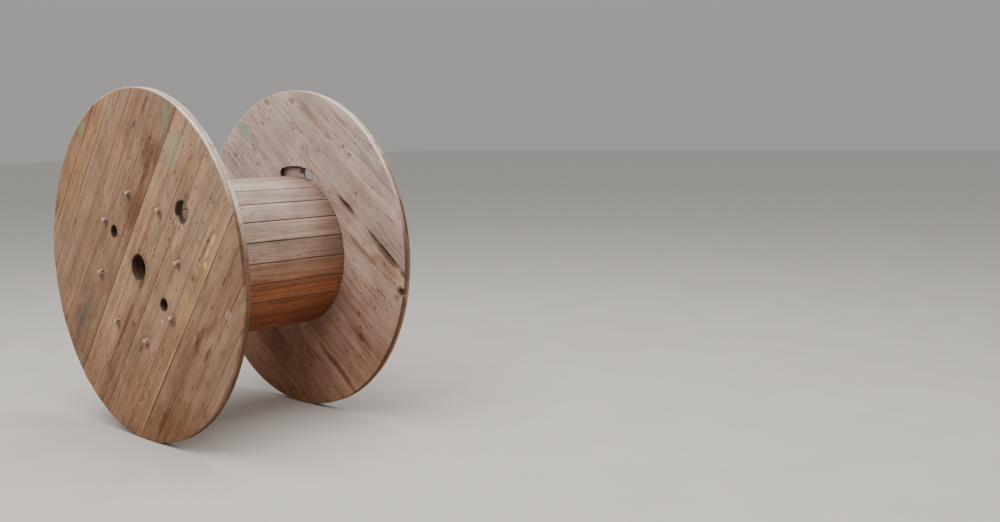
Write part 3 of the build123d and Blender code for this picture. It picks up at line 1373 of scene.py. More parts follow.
def nail_tree() -> Tree:
    """Make the Geometry Nodes that set a nail head on each marked point.

    Returns:
        The geometry tree.
    """
    tree = bpy.data.node_groups.new("nails_on_points", "GeometryNodeTree")
    g = Graph(tree)
    given = node_inputs(tree, {
        "Head Radius": "Float", "Head Height": "Float", "Stretch": "Vector", "Seed": "Int",
        "Finish": "Material",
    }).outputs

    def chance(low: float, high: float) -> Socket:
        """Return a random number for each nail."""
        inputs = {"Min": low, "Max": high, "Seed": given["Seed"]}
        return g.add("FunctionNodeRandomValue", inputs, out="Value", data_type="FLOAT")

    head = g.add("GeometryNodeMeshCone", {
        "Vertices": 10, "Radius Top": g.calc("MULTIPLY", given["Head Radius"], 0.62),
        "Radius Bottom": given["Head Radius"], "Depth": given["Head Height"],
    }, fill_type="NGON")
    points = g.add("GeometryNodeMeshToPoints", {"Mesh": given["Geometry"]})
    named = {"data_type": "FLOAT_VECTOR", "out": "Attribute"}
    facing = g.add("GeometryNodeInputNamedAttribute", {"Name": FACING}, **named)
    spin = g.add("ShaderNodeCombineXYZ", {"Z": chance(-math.pi, math.pi)})
    spin = g.add("FunctionNodeEulerToRotation", {"Euler": spin})
    turn = g.add("FunctionNodeAlignRotationToVector", {"Rotation": spin, "Vector": facing}, axis="Z")
    copies = g.add("GeometryNodeInstanceOnPoints", {
        "Points": points, "Instance": head, "Rotation": turn,
        "Scale": g.times(given["Stretch"], chance(0.8, 1.2)),
    })
    solid = g.add("GeometryNodeRealizeInstances", {"Geometry": copies})
    solid = g.add("GeometryNodeSetMaterial", {"Geometry": solid, "Material": given["Finish"]})
    g.feed(tree.nodes.new("NodeGroupOutput").inputs[0], solid)
    return tree


def grow(thing: Thing, tree: Tree, values: dict[str, Any]) -> None:
    """Run a geometry tree on an object and keep the result as a plain mesh.

    Args:
        thing: The object whose mesh goes into the tree.
        tree: The geometry tree.
        values: The value of each named input.
    """
    modifier = thing.modifiers.new(tree.name, "NODES")
    modifier.node_group = tree
    for item in tree.interface.items_tree:
        if item.in_out == "INPUT" and item.name in values:
            modifier[item.identifier] = values[item.name]
    settle(thing)


def turned(rings: Sequence[tuple[Any, float]], closed: bool, sides: int) -> Shape:
    """Build a round body along X from rings.

    Args:
        rings: Each ring's radius, one number or one for each side, and its place along X.
        closed: Whether the last ring joins the first, round a bore. Otherwise both ends are capped.
        sides: The number of points in a ring.

    Returns:
        The closed body, whose faces point outwards where the rings go along +X on its outside.
    """
    turns = np.linspace(0, math.tau, sides, endpoint=False)
    points = [np.column_stack((np.full(sides, x), radius * np.cos(turns), radius * np.sin(turns)))
              for radius, x in rings]
    faces: list[tuple[int, ...]] = []
    total = len(rings)
    for ring in range(total if closed else total - 1):
        here, after = ring * sides, (ring + 1) % total * sides
        for side in range(sides):
            beside = (side + 1) % sides
            faces.append((here + side, here + beside, after + beside, after + side))
    if not closed:
        faces.append(tuple(range(sides - 1, -1, -1)))
        faces.append(tuple(range((total - 1) * sides, total * sides)))
    return np.concatenate(points), faces


@dataclass
class Barrel:
    """The ring of flat staves between the flanges, with the nails that hold them on the core discs."""

    radius: float
    height: float
    inner_face: float
    count: int = 24
    thickness: float = 0.025
    gap: float = 0.0030
    inner_gap: float = 0.0004
    arris: float = 0.0016
    end_rounding: float = 0.2
    cells: tuple[int, int] = (40, 6)
    core_thickness: float = 0.022
    nail_share: float = 0.54
    nail_sway: tuple[float, float] = (0.003, 0.001)
    spin_degrees: float = 0.35
    looseness: float = 0.0005
    warp: float = 0.0022
    seed: int = 61

    @property
    def half_width(self) -> float:
        """Half of a stave's share of the ring, at its outer face."""
        return self.radius * math.tan(math.pi / self.count)

    @property
    def nail_aside(self) -> float:
        """How far a stave's nails are from its middle line."""
        return self.nail_share * self.radius * math.tan(math.pi / self.count)

    @property
    def nail_line(self) -> float:
        """How far the nails are from the middle of the barrel, along X."""
        return self.inner_face - self.core_thickness / 2

    def stave(self) -> Shape:
        """Build one stave about its own middle, along X with its outer face up.

        Returns:
            The stave, whose seams close towards the inside of the barrel.
        """
        slope = math.tan(math.pi / self.count)
        half = self.radius * slope - self.gap / 2

        def place(share_along: Array, share_across: Array, inset: float) -> Marks:
            """Return places along and across the stave."""
            along = share_along * (self.inner_face - inset * self.end_rounding)
            return along, (2 * share_across - 1) * (half - inset)

        points, faces = Timber(self.arris, *self.cells).block(
            place, lambda along, across: np.full(along.shape, self.thickness),
            lambda along, across: np.zeros(along.shape),
        )
        depth = points[:, 2] - self.thickness
        inner_half = (self.radius - self.thickness) * slope - self.inner_gap / 2
        points[:, 1] *= 1 + depth * (half - inner_half) / self.thickness / half
        points[:, 2] -= self.thickness / 2
        return points, faces

    def build(self, tree: Tree, material: Material) -> None:
        """Build the ring of staves and fix it to the drum.

        Args:
            tree: The Geometry Nodes that turn copies round the axle.
            material: The staves' finish.
        """
        thing = new_object("barrel_staves", self.stave())
        points = mesh_points(thing)
        write_attribute(thing, PLACE, points)
        write_attribute(thing, MARGIN, np.clip(self.half_width - np.abs(points[:, 1]), 0, 1))
        write_attribute(thing, HOLE, np.ones(len(points)))
        write_attribute(thing, AXIS, np.tile((1.0, 0.0, 0.0), (len(points), 1)))
        aside = np.sign(points[:, 1]) * self.nail_aside - points[:, 1]
        inward = np.sign(points[:, 0]) * self.nail_line - points[:, 0]
        near = np.hypot(inward / NAIL_STRETCH, aside)
        write_attribute(thing, NAIL, np.column_stack((inward, aside, near)))
        grow(thing, tree, {
            "Count": self.count, "Ring Radius": self.radius - self.thickness / 2,
            "Turn": math.pi / self.count, "Axle Height": self.height, "Seed": self.seed,
            "Spin": math.radians(self.spin_degrees), "Looseness": self.looseness, "Warp": self.warp,
            "Finish": material,
        })
        smooth(thing, WOOD_CREASE)
        ride(thing, "staves", material, "staves")

    def nail_marks(self) -> Marks:
        """Place the stave nails.

        Returns:
            The nails' places and the way they face.
        """
        rng = np.random.default_rng(self.seed)
        sway_along, sway_across = self.nail_sway
        places, facings = [], []
        for stave in range(self.count):
            turn = (stave + 0.5) * math.tau / self.count
            for end in (-1.0, 1.0):
                for side in (-1.0, 1.0):
                    aside = self.nail_aside * side + rng.uniform(-sway_across, sway_across)
                    x = end * (self.nail_line + rng.uniform(-sway_along, sway_along))
                    places.append((x, self.radius * math.cos(turn) - aside * math.sin(turn),
                                   self.height + self.radius * math.sin(turn) + aside * math.cos(turn)))
                    facings.append((0.0, math.cos(turn), math.sin(turn)))
        return np.array(places), np.array(facings)


@dataclass
class Bolting:
    """The eight threaded rods with their washers and nuts."""

    ring: float
    turn: float
    height: float
    outer_face: float
    washer_face: float
    nut_face: float
    rod_end: float
    count: int = 8
    rod_radius: float = 0.008
    thread_pitch: float = 0.002
    thread_length: float = 0.024
    thread_depth: float = 0.0011
    thread_steps: int = 6
    thread_start: float = 0.25
    end_chamfer: tuple[float, float] = (0.0004, 0.0006)
    nut_half_width: float = 0.012
    nut_land: float = 0.95
    nut_chamfer_degrees: float = 30.0
    nut_clearance: float = 0.0001
    bore_chamfer: float = 0.0008
    washer_radius: float = 0.015
    washer_clearance: float = 0.0005
    washer_rounding: float = 0.0006
    washer_dish: float = 0.0005
    washer_spin: float = 0.3
    sides: int = 36
    seed: int = 17

    def _ring(
        self, thing: Thing, tree: Tree, material: Material, spin: float, node: str, crease: float
    ) -> None:
        """Turn copies of a piece round the axle and fix them to the drum.

        Args:
            thing: The piece, with its middle on the axle line.
            tree: The Geometry Nodes that turn copies round the axle.
            material: The piece's finish.
            spin: How far each copy may turn on its own axis, in radians.
            node: The node that the copies stand for.
            crease: The crease, in degrees, from which edges stay sharp.
        """
        grow(thing, tree, {
            "Count": self.count, "Ring Radius": self.ring, "Turn": self.turn, "Axle Height": self.height,
            "Spin": spin, "Looseness": 0.0, "Warp": 0.0, "Seed": self.seed, "Finish": material,
        })
        smooth(thing, crease)
        ride(thing, "galvanised_steel", material, node)

    def nut(self, side: float) -> Shape:
        """Build a hexagon nut with chamfered corners.

        Args:
            side: -1 for the near side of the drum, 1 for the far side.

        Returns:
            The nut.
        """
        turns = np.linspace(0, math.tau, self.sides, endpoint=False)
        hexagon = self.nut_half_width / np.cos(np.mod(turns, math.pi / 3) - math.pi / 6)
        land, bore = self.nut_half_width * self.nut_land, self.rod_radius + self.nut_clearance
        fall = np.clip(hexagon - land, 0, None) * math.tan(math.radians(self.nut_chamfer_degrees))
        low, high = sorted((side * self.washer_face, side * self.nut_face))
        edge = self.bore_chamfer
        radii = (bore, bore + edge, land, hexagon, hexagon, land, bore + edge, bore)
        places = (low + edge, low, low, low + fall, high - fall, high, high, high - edge)
        points, faces = turned([(radius, 0.0) for radius in radii], True, self.sides)
        points[:, 0] = np.concatenate([np.broadcast_to(place, self.sides) for place in places])
        return points, faces

    def washer(self, side: float) -> Shape:
        """Build a round washer with rounded rims and a slight dish.

        Args:
            side: -1 for the near side of the drum, 1 for the far side.

        Returns:
            The washer.
        """
        low, high = sorted((side * self.outer_face, side * self.washer_face))
        bore, rim = self.rod_radius + self.washer_clearance, self.washer_radius
        soft, dish = self.washer_rounding, self.washer_dish * side
        return turned((
            (bore, low + soft + dish), (bore + soft, low + dish), (rim - soft, low), (rim, low + soft),
            (rim, high - soft), (rim - soft, high), (bore + soft, high + dish), (bore, high - soft + dish),
        ), True, self.sides)

    def rod(self) -> Shape:
        """Build a rod with a cut thread and a chamfer at both ends.

        Returns:
            The rod.
        """
        turns = np.arange(self.sides) / self.sides
        pitch, length = self.thread_pitch, self.thread_length
        crest, root = self.rod_radius, self.rod_radius - self.thread_depth
        end_length, end_fall = self.end_chamfer
        rings: list[tuple[Any, float]] = []
        for end in (-1.0, 1.0):
            part: list[tuple[Any, float]] = [(root - end_fall, end * self.rod_end)]
            for place in np.arange(0.0, length, pitch / self.thread_steps):
                wave = np.abs(np.mod(place / pitch - turns * end, 1.0) * 2 - 1)
                fade = min(1.0, (length - place) / (2 * pitch))
                start = min(1.0, self.thread_start + place / pitch)
                radius = root + (crest - root) * (1 - fade * (1 - wave * start))
                part.append((radius, end * (self.rod_end - end_length - place)))
            part.append((crest, end * (self.rod_end - length - pitch)))
            rings.extend(part if end < 0 else reversed(part))
        return turned(rings, False, self.sides)

    def build(self, tree: Tree, material: Material, worn: Material) -> None:
        """Build the rods, washers and nuts and fix them to the drum.

        Args:
            tree: The Geometry Nodes that turn copies round the axle.
            material: The finish of the rods.
            worn: The finish of the washers and nuts.
        """
        self._ring(new_object("threaded_rods", self.rod()), tree, material, 0.0, "tie_rods", STEEL_CREASE)
        for side, name in ((-1.0, "near"), (1.0, "far")):
            washers = new_object(f"{name}_round_washers", self.washer(side))
            self._ring(washers, tree, worn, self.washer_spin, f"{name}_washers", STEEL_CREASE)
            nuts = new_object(f"{name}_hexagon_nuts", self.nut(side))
            self._ring(nuts, tree, worn, math.pi, f"{name}_nuts", NUT_CREASE)


@dataclass
class Nails:
    """The nails that hold the crossed boards together and the staves on their discs."""

    tree: Tree
    material: Material
    pairs: tuple[tuple[float, float], ...] = ((0.27, 0.33), (0.73, 0.67))
    sway: tuple[float, float] = (0.012, 0.008)
    rim_clearance: float = 0.022
    hole_clearance: float = 0.012
    bolt_clearance: float = 0.034
    head_height: float = 0.0011
    layer_seed: int = 500

    def layer_marks(
        self, layer: BoardLayer, crossing: BoardLayer, bolts: Sequence[tuple[float, float]]
    ) -> Marks:
        """Place nails where the boards of two layers cross.

        Args:
            layer: The layer whose face shows the nails.
            crossing: The layer under it.
            bolts: The rods' places beside and above the axle.

        Returns:
            The nails' places and the way they face.
        """
        rng = np.random.default_rng(layer.seed + self.layer_seed)
        sign = 1.0 if math.sin(layer.turn - crossing.turn) > 0 else -1.0
        sway_along, sway_across = self.sway
        marks = []
        for low, high in zip(layer.edges[:-1], layer.edges[1:]):
            for first, last in zip(crossing.edges[:-1], crossing.edges[1:]):
                for share_across, share_along in self.pairs:
                    along = sign * (first + (last - first) * share_along)
                    along += rng.uniform(-sway_along, sway_along)
                    across = low + (high - low) * share_across + rng.uniform(-sway_across, sway_across)
                    if rng.random() < layer.nail_share:
                        marks.append((along, across))
        along, across = np.array(marks).T
        keep = np.hypot(along, across) < layer.radius - self.rim_clearance
        level = layer.thickness + layer.level_spread * 0.5
        places = layer.to_drum(along, across, np.full(along.shape, level))
        y, z = places[:, 1], places[:, 2] - layer.height
        for hole in layer.holes:
            keep &= hole.margin(y, z) > self.hole_clearance
        for bolt_y, bolt_z in bolts:
            keep &= np.hypot(y - bolt_y, z - bolt_z) > self.bolt_clearance
        return places[keep], np.tile((layer.outward, 0.0, 0.0), (int(keep.sum()), 1))

    def build(self, name: str, marks: Marks, head: float, stretch: Point, seed: int) -> None:
        """Set the nails of one face and fix them to the drum.

        Args:
            name: The piece's name.
            marks: The nails' places and the way they face.
            head: The radius of a nail's head.
            stretch: How much the heads are stretched along three axes.
            seed: The seed of their turns and sizes.
        """
        places, facings = marks
        thing = new_object(name, (places, []))
        write_attribute(thing, FACING, facings)
        grow(thing, self.tree, {
            "Head Radius": head, "Head Height": self.head_height, "Stretch": stretch, "Seed": seed,
            "Finish": self.material,
        })
        smooth(thing, NAIL_CREASE)
        ride(thing, "galvanised_steel", self.material)


@dataclass
class Studio:
    """A pale floor under soft light, and a camera at the photograph's angle."""

    eye: Point = (-2.8962, -4.3471, 1.3737)
    yaw: float = 0.8430
    pitch: float = 0.1207
    roll: float = -0.0152
    focal_pixels: float = 1056.4852
    image_width: float = 1000.0
    sensor: float = 36.0
    floor_color: Color = (0.50, 0.47, 0.43)
    floor_reach: float = 60.0

    def camera(self) -> None:
        """Place the camera."""
        level = Vector((math.sin(self.yaw), math.cos(self.yaw), 0.0))
        forward = level * math.cos(self.pitch) - Vector((0, 0, 1)) * math.sin(self.pitch)
        upright = Vector((0, 0, 1)) * math.cos(self.pitch) + level * math.sin(self.pitch)
        aside = Vector((math.cos(self.yaw), -math.sin(self.yaw), 0.0))
        right = aside * math.cos(self.roll) + upright * math.sin(self.roll)
        up = upright * math.cos(self.roll) - aside * math.sin(self.roll)
        data = bpy.data.cameras.new("camera")
        data.sensor_width = self.sensor
        data.lens = self.focal_pixels * self.sensor / self.image_width
        thing = bpy.data.objects.new("camera", data)
        thing.matrix_world = Matrix((right, up, -forward)).transposed().to_4x4()
        thing.location = self.eye
        bpy.context.scene.collection.objects.link(thing)
        bpy.context.scene.camera = thing

    def floor(self) -> None:
        """Lay the floor."""
        size = self.floor_reach
        corners = np.array([(-size, -size, 0.0), (size, -size, 0.0), (size, size, 0.0), (-size, size, 0.0)])
        thing = new_object("studio_floor", (corners, [(0, 1, 2, 3)]))
        thing.data.materials.append(Floor("pale_floor", self.floor_color).build())

    def lights(self) -> None:
        """Hang the soft lights and set the pale surroundings."""
        for name, place, size, power, color in (
            ("overhead", (-1.4, -1.4, 7.0), 7.8, 890.0, (1.0, 0.98, 0.96)),
            ("front_fill", (-6.0, -2.5, 3.2), 4.0, 70.0, (1.0, 0.97, 0.94)),
        ):
            data = bpy.data.lights.new(name, "AREA")
            data.size = size
            data.energy = power
            data.color = color
            thing = bpy.data.objects.new(name, data)
            thing.location = place
            aim = Vector((0.0, 0.0, 0.8)) - Vector(place)
            thing.rotation_euler = aim.to_track_quat("-Z", "Y").to_euler()
            bpy.context.scene.collection.objects.link(thing)
        world = bpy.data.worlds.new("pale_surroundings")
        world.use_nodes = True
        g = Graph(world.node_tree)
        _, _, upward = g.parts(g.add("ShaderNodeTexCoord", out="Generated"))
        shade = g.mix(g.ease(upward, 0.0, 0.9), (0.50, 0.48, 0.46), (0.95, 0.97, 1.0))
        back = world.node_tree.nodes["Background"]
        g.feed(back.inputs["Color"], shade)
        back.inputs["Strength"].default_value = 0.75
        bpy.context.scene.world = world

    def build(self) -> None:
        """Set up the whole studio."""
        self.camera()
        self.floor()
        self.lights()


# The colours and the kind that many marks share
GREEN = (0.20, 0.31, 0.17)
PALE = (0.60, 0.44, 0.28)
SHADE = (0.62, 0.52, 0.44)
DEEP = (0.40, 0.30, 0.24)
SPOT = (0.11, 0.055, 0.032)
DARK = Stained.DARKEN


def spots(*places: Point) -> tuple[Stain, ...]:
    """Return small dark spots, each given by its place along and across and its half width."""
    made = (Stain(along, across, 1.6 * size, size, SPOT, 0.7, ragged=0.3) for along, across, size in places)
    return tuple(made)


# The marks on the near outer face
NEAR_STAINS = (
    Stain(0.000, -0.690, 0.90, 0.105, (1.0, 0.86, 0.70), 0.7, DARK, 0.3),
    Stain(0.060, -0.660, 0.12, 0.020, (0.86, 0.66, 0.54), 0.7, DARK, 0.5),
    Stain(0.460, 0.600, 0.34, 0.080, (0.80, 0.72, 0.66), 0.8, DARK, 0.7),
    Stain(0.300, -0.056, 0.27, 0.028, (1.16, 1.12, 1.10), 0.9, DARK, 0.6),
    Stain(-0.420, -0.042, 0.30, 0.048, (1.14, 1.12, 1.12), 0.9, DARK, 0.4),
    Stain(-0.260, 0.110, 0.17, 0.035, (1.04, 0.89, 0.86), 0.8, DARK, 0.6),
    Stain(0.070, 0.384, 0.14, 0.030, (1.13, 1.13, 0.94), 0.8, DARK, 0.7),
    Stain(0.340, 0.390, 0.12, 0.040, (1.10, 1.07, 0.86), 0.7, DARK, 0.8),
    Stain(-0.500, 0.328, 0.14, 0.010, (1.24, 1.18, 1.10), 0.9, DARK, 0.4),
    Stain(-0.150, 0.714, 0.16, 0.050, (1.08, 1.00, 1.02), 0.8, DARK, 0.7),
    Stain(0.713, -0.180, 0.080, 0.024, GREEN, 0.75, ragged=0.3, lean=0.65),
    Stain(0.607, -0.061, 0.10, 0.070, (0.27, 0.33, 0.21), 0.36),
    Stain(0.230, -0.729, 0.05, 0.035, (0.25, 0.32, 0.18), 0.6),
    Stain(-0.753, -0.173, 0.03, 0.03, (0.27, 0.29, 0.18), 0.5),
    Stain(-0.150, -0.385, 0.06, 0.015, (0.86, 0.95, 0.80), 0.6, DARK),
    Stain(-0.560, -0.252, 0.22, 0.045, (0.62, 0.72, 0.88), 0.85, DARK),
    Stain(0.600, -0.370, 0.24, 0.090, (0.84, 0.86, 0.90), 0.9, DARK, 0.6),
    Stain(-0.250, 0.450, 0.24, 0.050, (1.33, 1.34, 1.40), 0.9, DARK, 0.5),
    Stain(-0.045, 0.612, 0.17, 0.055, (0.92, 0.85, 0.83), 0.85, DARK, 0.6),
    Stain(-0.257, -0.162, 0.12, 0.032, (0.90, 0.84, 0.88), 0.8, DARK, 0.5),
    Stain(0.000, 0.725, 0.28, 0.055, (0.86, 0.84, 0.82), 0.9, DARK, 0.5),
    Stain(0.142, 0.218, 0.06, 0.030, (0.80, 0.76, 0.72), 0.8, DARK, 0.8),
    Stain(0.490, -0.200, 0.12, 0.075, SHADE, 0.75, DARK, 0.9),
    Stain(0.400, -0.178, 0.09, 0.030, (0.66, 0.50, 0.42), 0.75, DARK, 0.6),
    Stain(0.210, -0.170, 0.15, 0.055, (0.62, 0.46, 0.36), 0.75, DARK, 0.6),
    Stain(-0.260, -0.150, 0.07, 0.026, (0.98, 0.76, 0.66), 0.7, DARK),
    Stain(0.010, -0.012, 0.090, 0.078, DEEP, 0.62, DARK, 0.6),
    Stain(-0.035, 0.058, 0.060, 0.020, DEEP, 0.8, DARK, 0.5),
    Stain(-0.310, 0.052, 0.37, 0.010, DEEP, 0.75, DARK, 0.5),
    Stain(0.247, 0.052, 0.08, 0.008, DEEP, 0.7, DARK, 0.5),
    Stain(0.304, 0.029, 0.035, 0.007, DEEP, 0.8, DARK, 0.3),
    Stain(0.060, 0.537, 0.12, 0.022, SHADE, 0.8, DARK, 0.8),
    Stain(0.042, 0.532, 0.030, 0.008, DEEP, 0.8, DARK, 0.4),
    Stain(0.190, 0.579, 0.10, 0.022, SHADE, 0.7, DARK, 0.8),
    Stain(0.056, 0.618, 0.045, 0.014, SHADE, 0.8, DARK, 0.6),
    Stain(-0.460, 0.531, 0.12, 0.020, SHADE, 0.8, DARK, 0.8),
    Stain(-0.420, 0.565, 0.10, 0.045, (0.94, 0.74, 0.66), 0.6, DARK),
    Stain(-0.560, 0.088, 0.11, 0.022, SHADE, 0.7, DARK, 0.7),
    Stain(-0.300, 0.434, 0.33, 0.005, DEEP, 0.85, DARK, 0.3),
    Stain(-0.300, 0.200, 0.06, 0.04, SHADE, 0.5, DARK, 0.9),
    Stain(-0.311, 0.216, 0.030, 0.012, DEEP, 0.7, DARK, 0.5),
    Stain(0.645, -0.337, 0.055, 0.011, DEEP, 0.6, DARK, 0.6),
    Stain(0.400, 0.535, 0.030, 0.008, DEEP, 0.6, DARK, 0.6),
    Stain(0.548, -0.392, 0.030, 0.016, (0.30, 0.125, 0.055), 0.5),
    Stain(0.525, -0.360, 0.026, 0.005, (0.06, 0.025, 0.015), 0.85, ragged=0.2),
    Stain(0.300, 0.636, 0.028, 0.022, (0.50, 0.36, 0.27), 0.55),
    Stain(0.300, 0.636, 0.012, 0.009, (0.20, 0.10, 0.055), 0.6),
    Stain(-0.075, 0.280, 0.011, 0.011, (0.60, 0.50, 0.43), 0.7, ragged=0.3),
    Stain(0.486, 0.383, 0.040, 0.010, PALE, 0.75, ragged=0.4),
    Stain(0.418, 0.378, 0.035, 0.011, PALE, 0.5, ragged=0.6),
    Stain(0.362, 0.396, 0.016, 0.011, PALE, 0.7, ragged=0.4),
    Stain(0.400, 0.352, 0.10, 0.004, DEEP, 0.8, DARK, 0.3),
    Stain(0.385, 0.128, 0.022, 0.034, PALE, 0.35, ragged=0.9),
    Stain(0.500, 0.130, 0.050, 0.030, SHADE, 0.5, DARK, 0.9),
    *spots(
        (0.461, -0.242, 0.011), (0.505, -0.179, 0.012), (0.681, -0.338, 0.012), (0.076, -0.196, 0.007),
        (0.038, -0.180, 0.007), (0.198, -0.277, 0.007), (0.158, 0.061, 0.008), (0.274, 0.128, 0.008),
        (0.546, 0.012, 0.007), (0.530, 0.038, 0.008), (0.661, 0.068, 0.007), (0.246, 0.531, 0.009),
        (-0.352, 0.138, 0.008), (0.124, 0.291, 0.007),
    ),
)

# The marks on the far flange's inner face
FAR_STAINS = (
    Stain(0.693, 0.227, 0.070, 0.050, (0.27, 0.40, 0.26), 0.72, ragged=0.4),
    Stain(0.320, 0.622, 0.17, 0.036, (0.84, 0.72, 0.67), 0.85, DARK, 0.8),
    Stain(-0.050, 0.760, 0.26, 0.038, (0.60, 0.57, 0.60), 0.85, DARK, 0.8),
    Stain(-0.232, 0.729, 0.022, 0.018, (0.52, 0.34, 0.24), 0.6, ragged=0.9),
    Stain(-0.175, 0.427, 0.11, 0.022, DEEP, 0.75, DARK, 0.8),
    Stain(-0.165, 0.434, 0.09, 0.009, (0.26, 0.18, 0.14), 0.9, DARK, 0.3, depth=0.04),
    Stain(-0.510, 0.428, 0.19, 0.028, DEEP, 0.80, DARK, 0.8),
    Stain(-0.505, 0.434, 0.16, 0.010, (0.26, 0.18, 0.14), 0.9, DARK, 0.4, depth=0.04),
    Stain(-0.400, 0.330, 0.19, 0.018, (0.60, 0.50, 0.46), 0.8, DARK, 0.8),
    Stain(-0.590, -0.280, 0.18, 0.022, DEEP, 0.8, DARK, 0.8),
    Stain(-0.625, -0.031, 0.030, 0.020, (0.14, 0.06, 0.03), 0.75),
    Stain(-0.625, -0.031, 0.10, 0.045, SHADE, 0.7, DARK, 0.7),
    Stain(-0.665, 0.424, 0.030, 0.018, (0.10, 0.05, 0.03), 0.8),
    Stain(-0.715, 0.352, 0.050, 0.024, (0.16, 0.10, 0.07), 0.9, DARK, depth=0.04),
    Stain(-0.560, 0.380, 0.10, 0.060, SHADE, 0.6, DARK, 0.8),
    Stain(-0.600, 0.250, 0.045, 0.012, DEEP, 0.7, DARK, 0.9),
    Stain(-0.447, 0.575, 0.055, 0.006, DEEP, 0.7, DARK, 0.5),
    Stain(0.655, 0.330, 0.055, 0.013, (0.70, 0.50, 0.42), 0.75, DARK, 0.6),
    Stain(0.621, 0.468, 0.030, 0.016, DEEP, 0.7, DARK, 0.6),
    Stain(0.256, 0.455, 0.022, 0.015, SHADE, 0.8, DARK),
    Stain(0.213, 0.461, 0.040, 0.006, (0.13, 0.065, 0.035), 0.7, ragged=0.2, lean=-0.59),
    Stain(0.222, 0.445, 0.035, 0.010, (0.45, 0.30, 0.16), 0.5),
    Stain(-0.050, 0.560, 0.35, 0.050, (0.84, 0.78, 0.74), 0.6, DARK, 0.9),
    Stain(0.330, -0.060, 0.10, 0.060, SHADE, 0.5, DARK, 0.9),
    *spots(
        (0.590, 0.357, 0.010), (0.690, 0.074, 0.010), (0.594, 0.211, 0.009), (0.007, 0.651, 0.010),
        (-0.052, 0.646, 0.009), (-0.194, 0.522, 0.009), (-0.545, 0.057, 0.011), (-0.581, 0.244, 0.008),
    ),
)

# The painted light on the far outer boards seen through the slot, and the painted shadow along its top and
# right end
SLOT_LIGHT_AND_SHADE = (
    Stain(0.324, -0.227, 0.14, 0.14, (0.60, 0.47, 0.42), 0.85, ragged=0.3),
    Stain(0.327, -0.263, 0.085, 0.011, (0.28, 0.14, 0.12), 0.9, DARK, 0.3, lean=-0.96),
    Stain(0.347, -0.200, 0.045, 0.024, (0.28, 0.14, 0.12), 0.9, DARK, 0.3, lean=-0.96),
)

# The cracks and the torn wood of the near outer face
NEAR_CRACKS = (
    Crack(0.372, 0.535, 0.370, 0.024, depth=0.0035, points=14, rough=0.5),
    Crack(0.340, 0.392, 0.112, 0.0045),
    Crack(0.372, 0.402, 0.135, 0.030, depth=0.004, points=8, rough=0.4),
    Crack(-0.62, -0.47, -0.305, 0.0022),
    Crack(-0.36, -0.22, 0.585, 0.0020),
    Crack(0.55, 0.68, 0.275, 0.0022),
)

# The cracks, the broken seam and the chipped rim of the far flange
FAR_CRACKS = (
    Crack(-0.655, -0.371, 0.434, 0.011, points=17, rough=0.55),
    Crack(-0.247, -0.099, 0.434, 0.008, points=11, rough=0.5),
    Crack(-0.735, -0.445, -0.278, 0.0045, points=15, rough=0.5),
    Crack(0.195, 0.250, 0.450, 0.004),
    Crack(-0.745, -0.690, 0.352, 0.034, points=6, rough=0.4),
    Crack(0.30, 0.52, -0.18, 0.0022),
)

# How pale each board of the near outer face is, from the layer's low side
NEAR_TONES = (-0.3, 0.0, -0.1, 0.2, -0.5, -0.8, 0.95, 0.8, 0.0, 0.0, -0.1, 0.7, -0.6, -0.7, -0.6, -0.6)

# The layer that each layer is nailed to
CROSSED = {
    "near_outer": "near_inner", "near_inner": "near_outer",
    "far_inner": "far_outer", "far_outer": "far_inner",
}


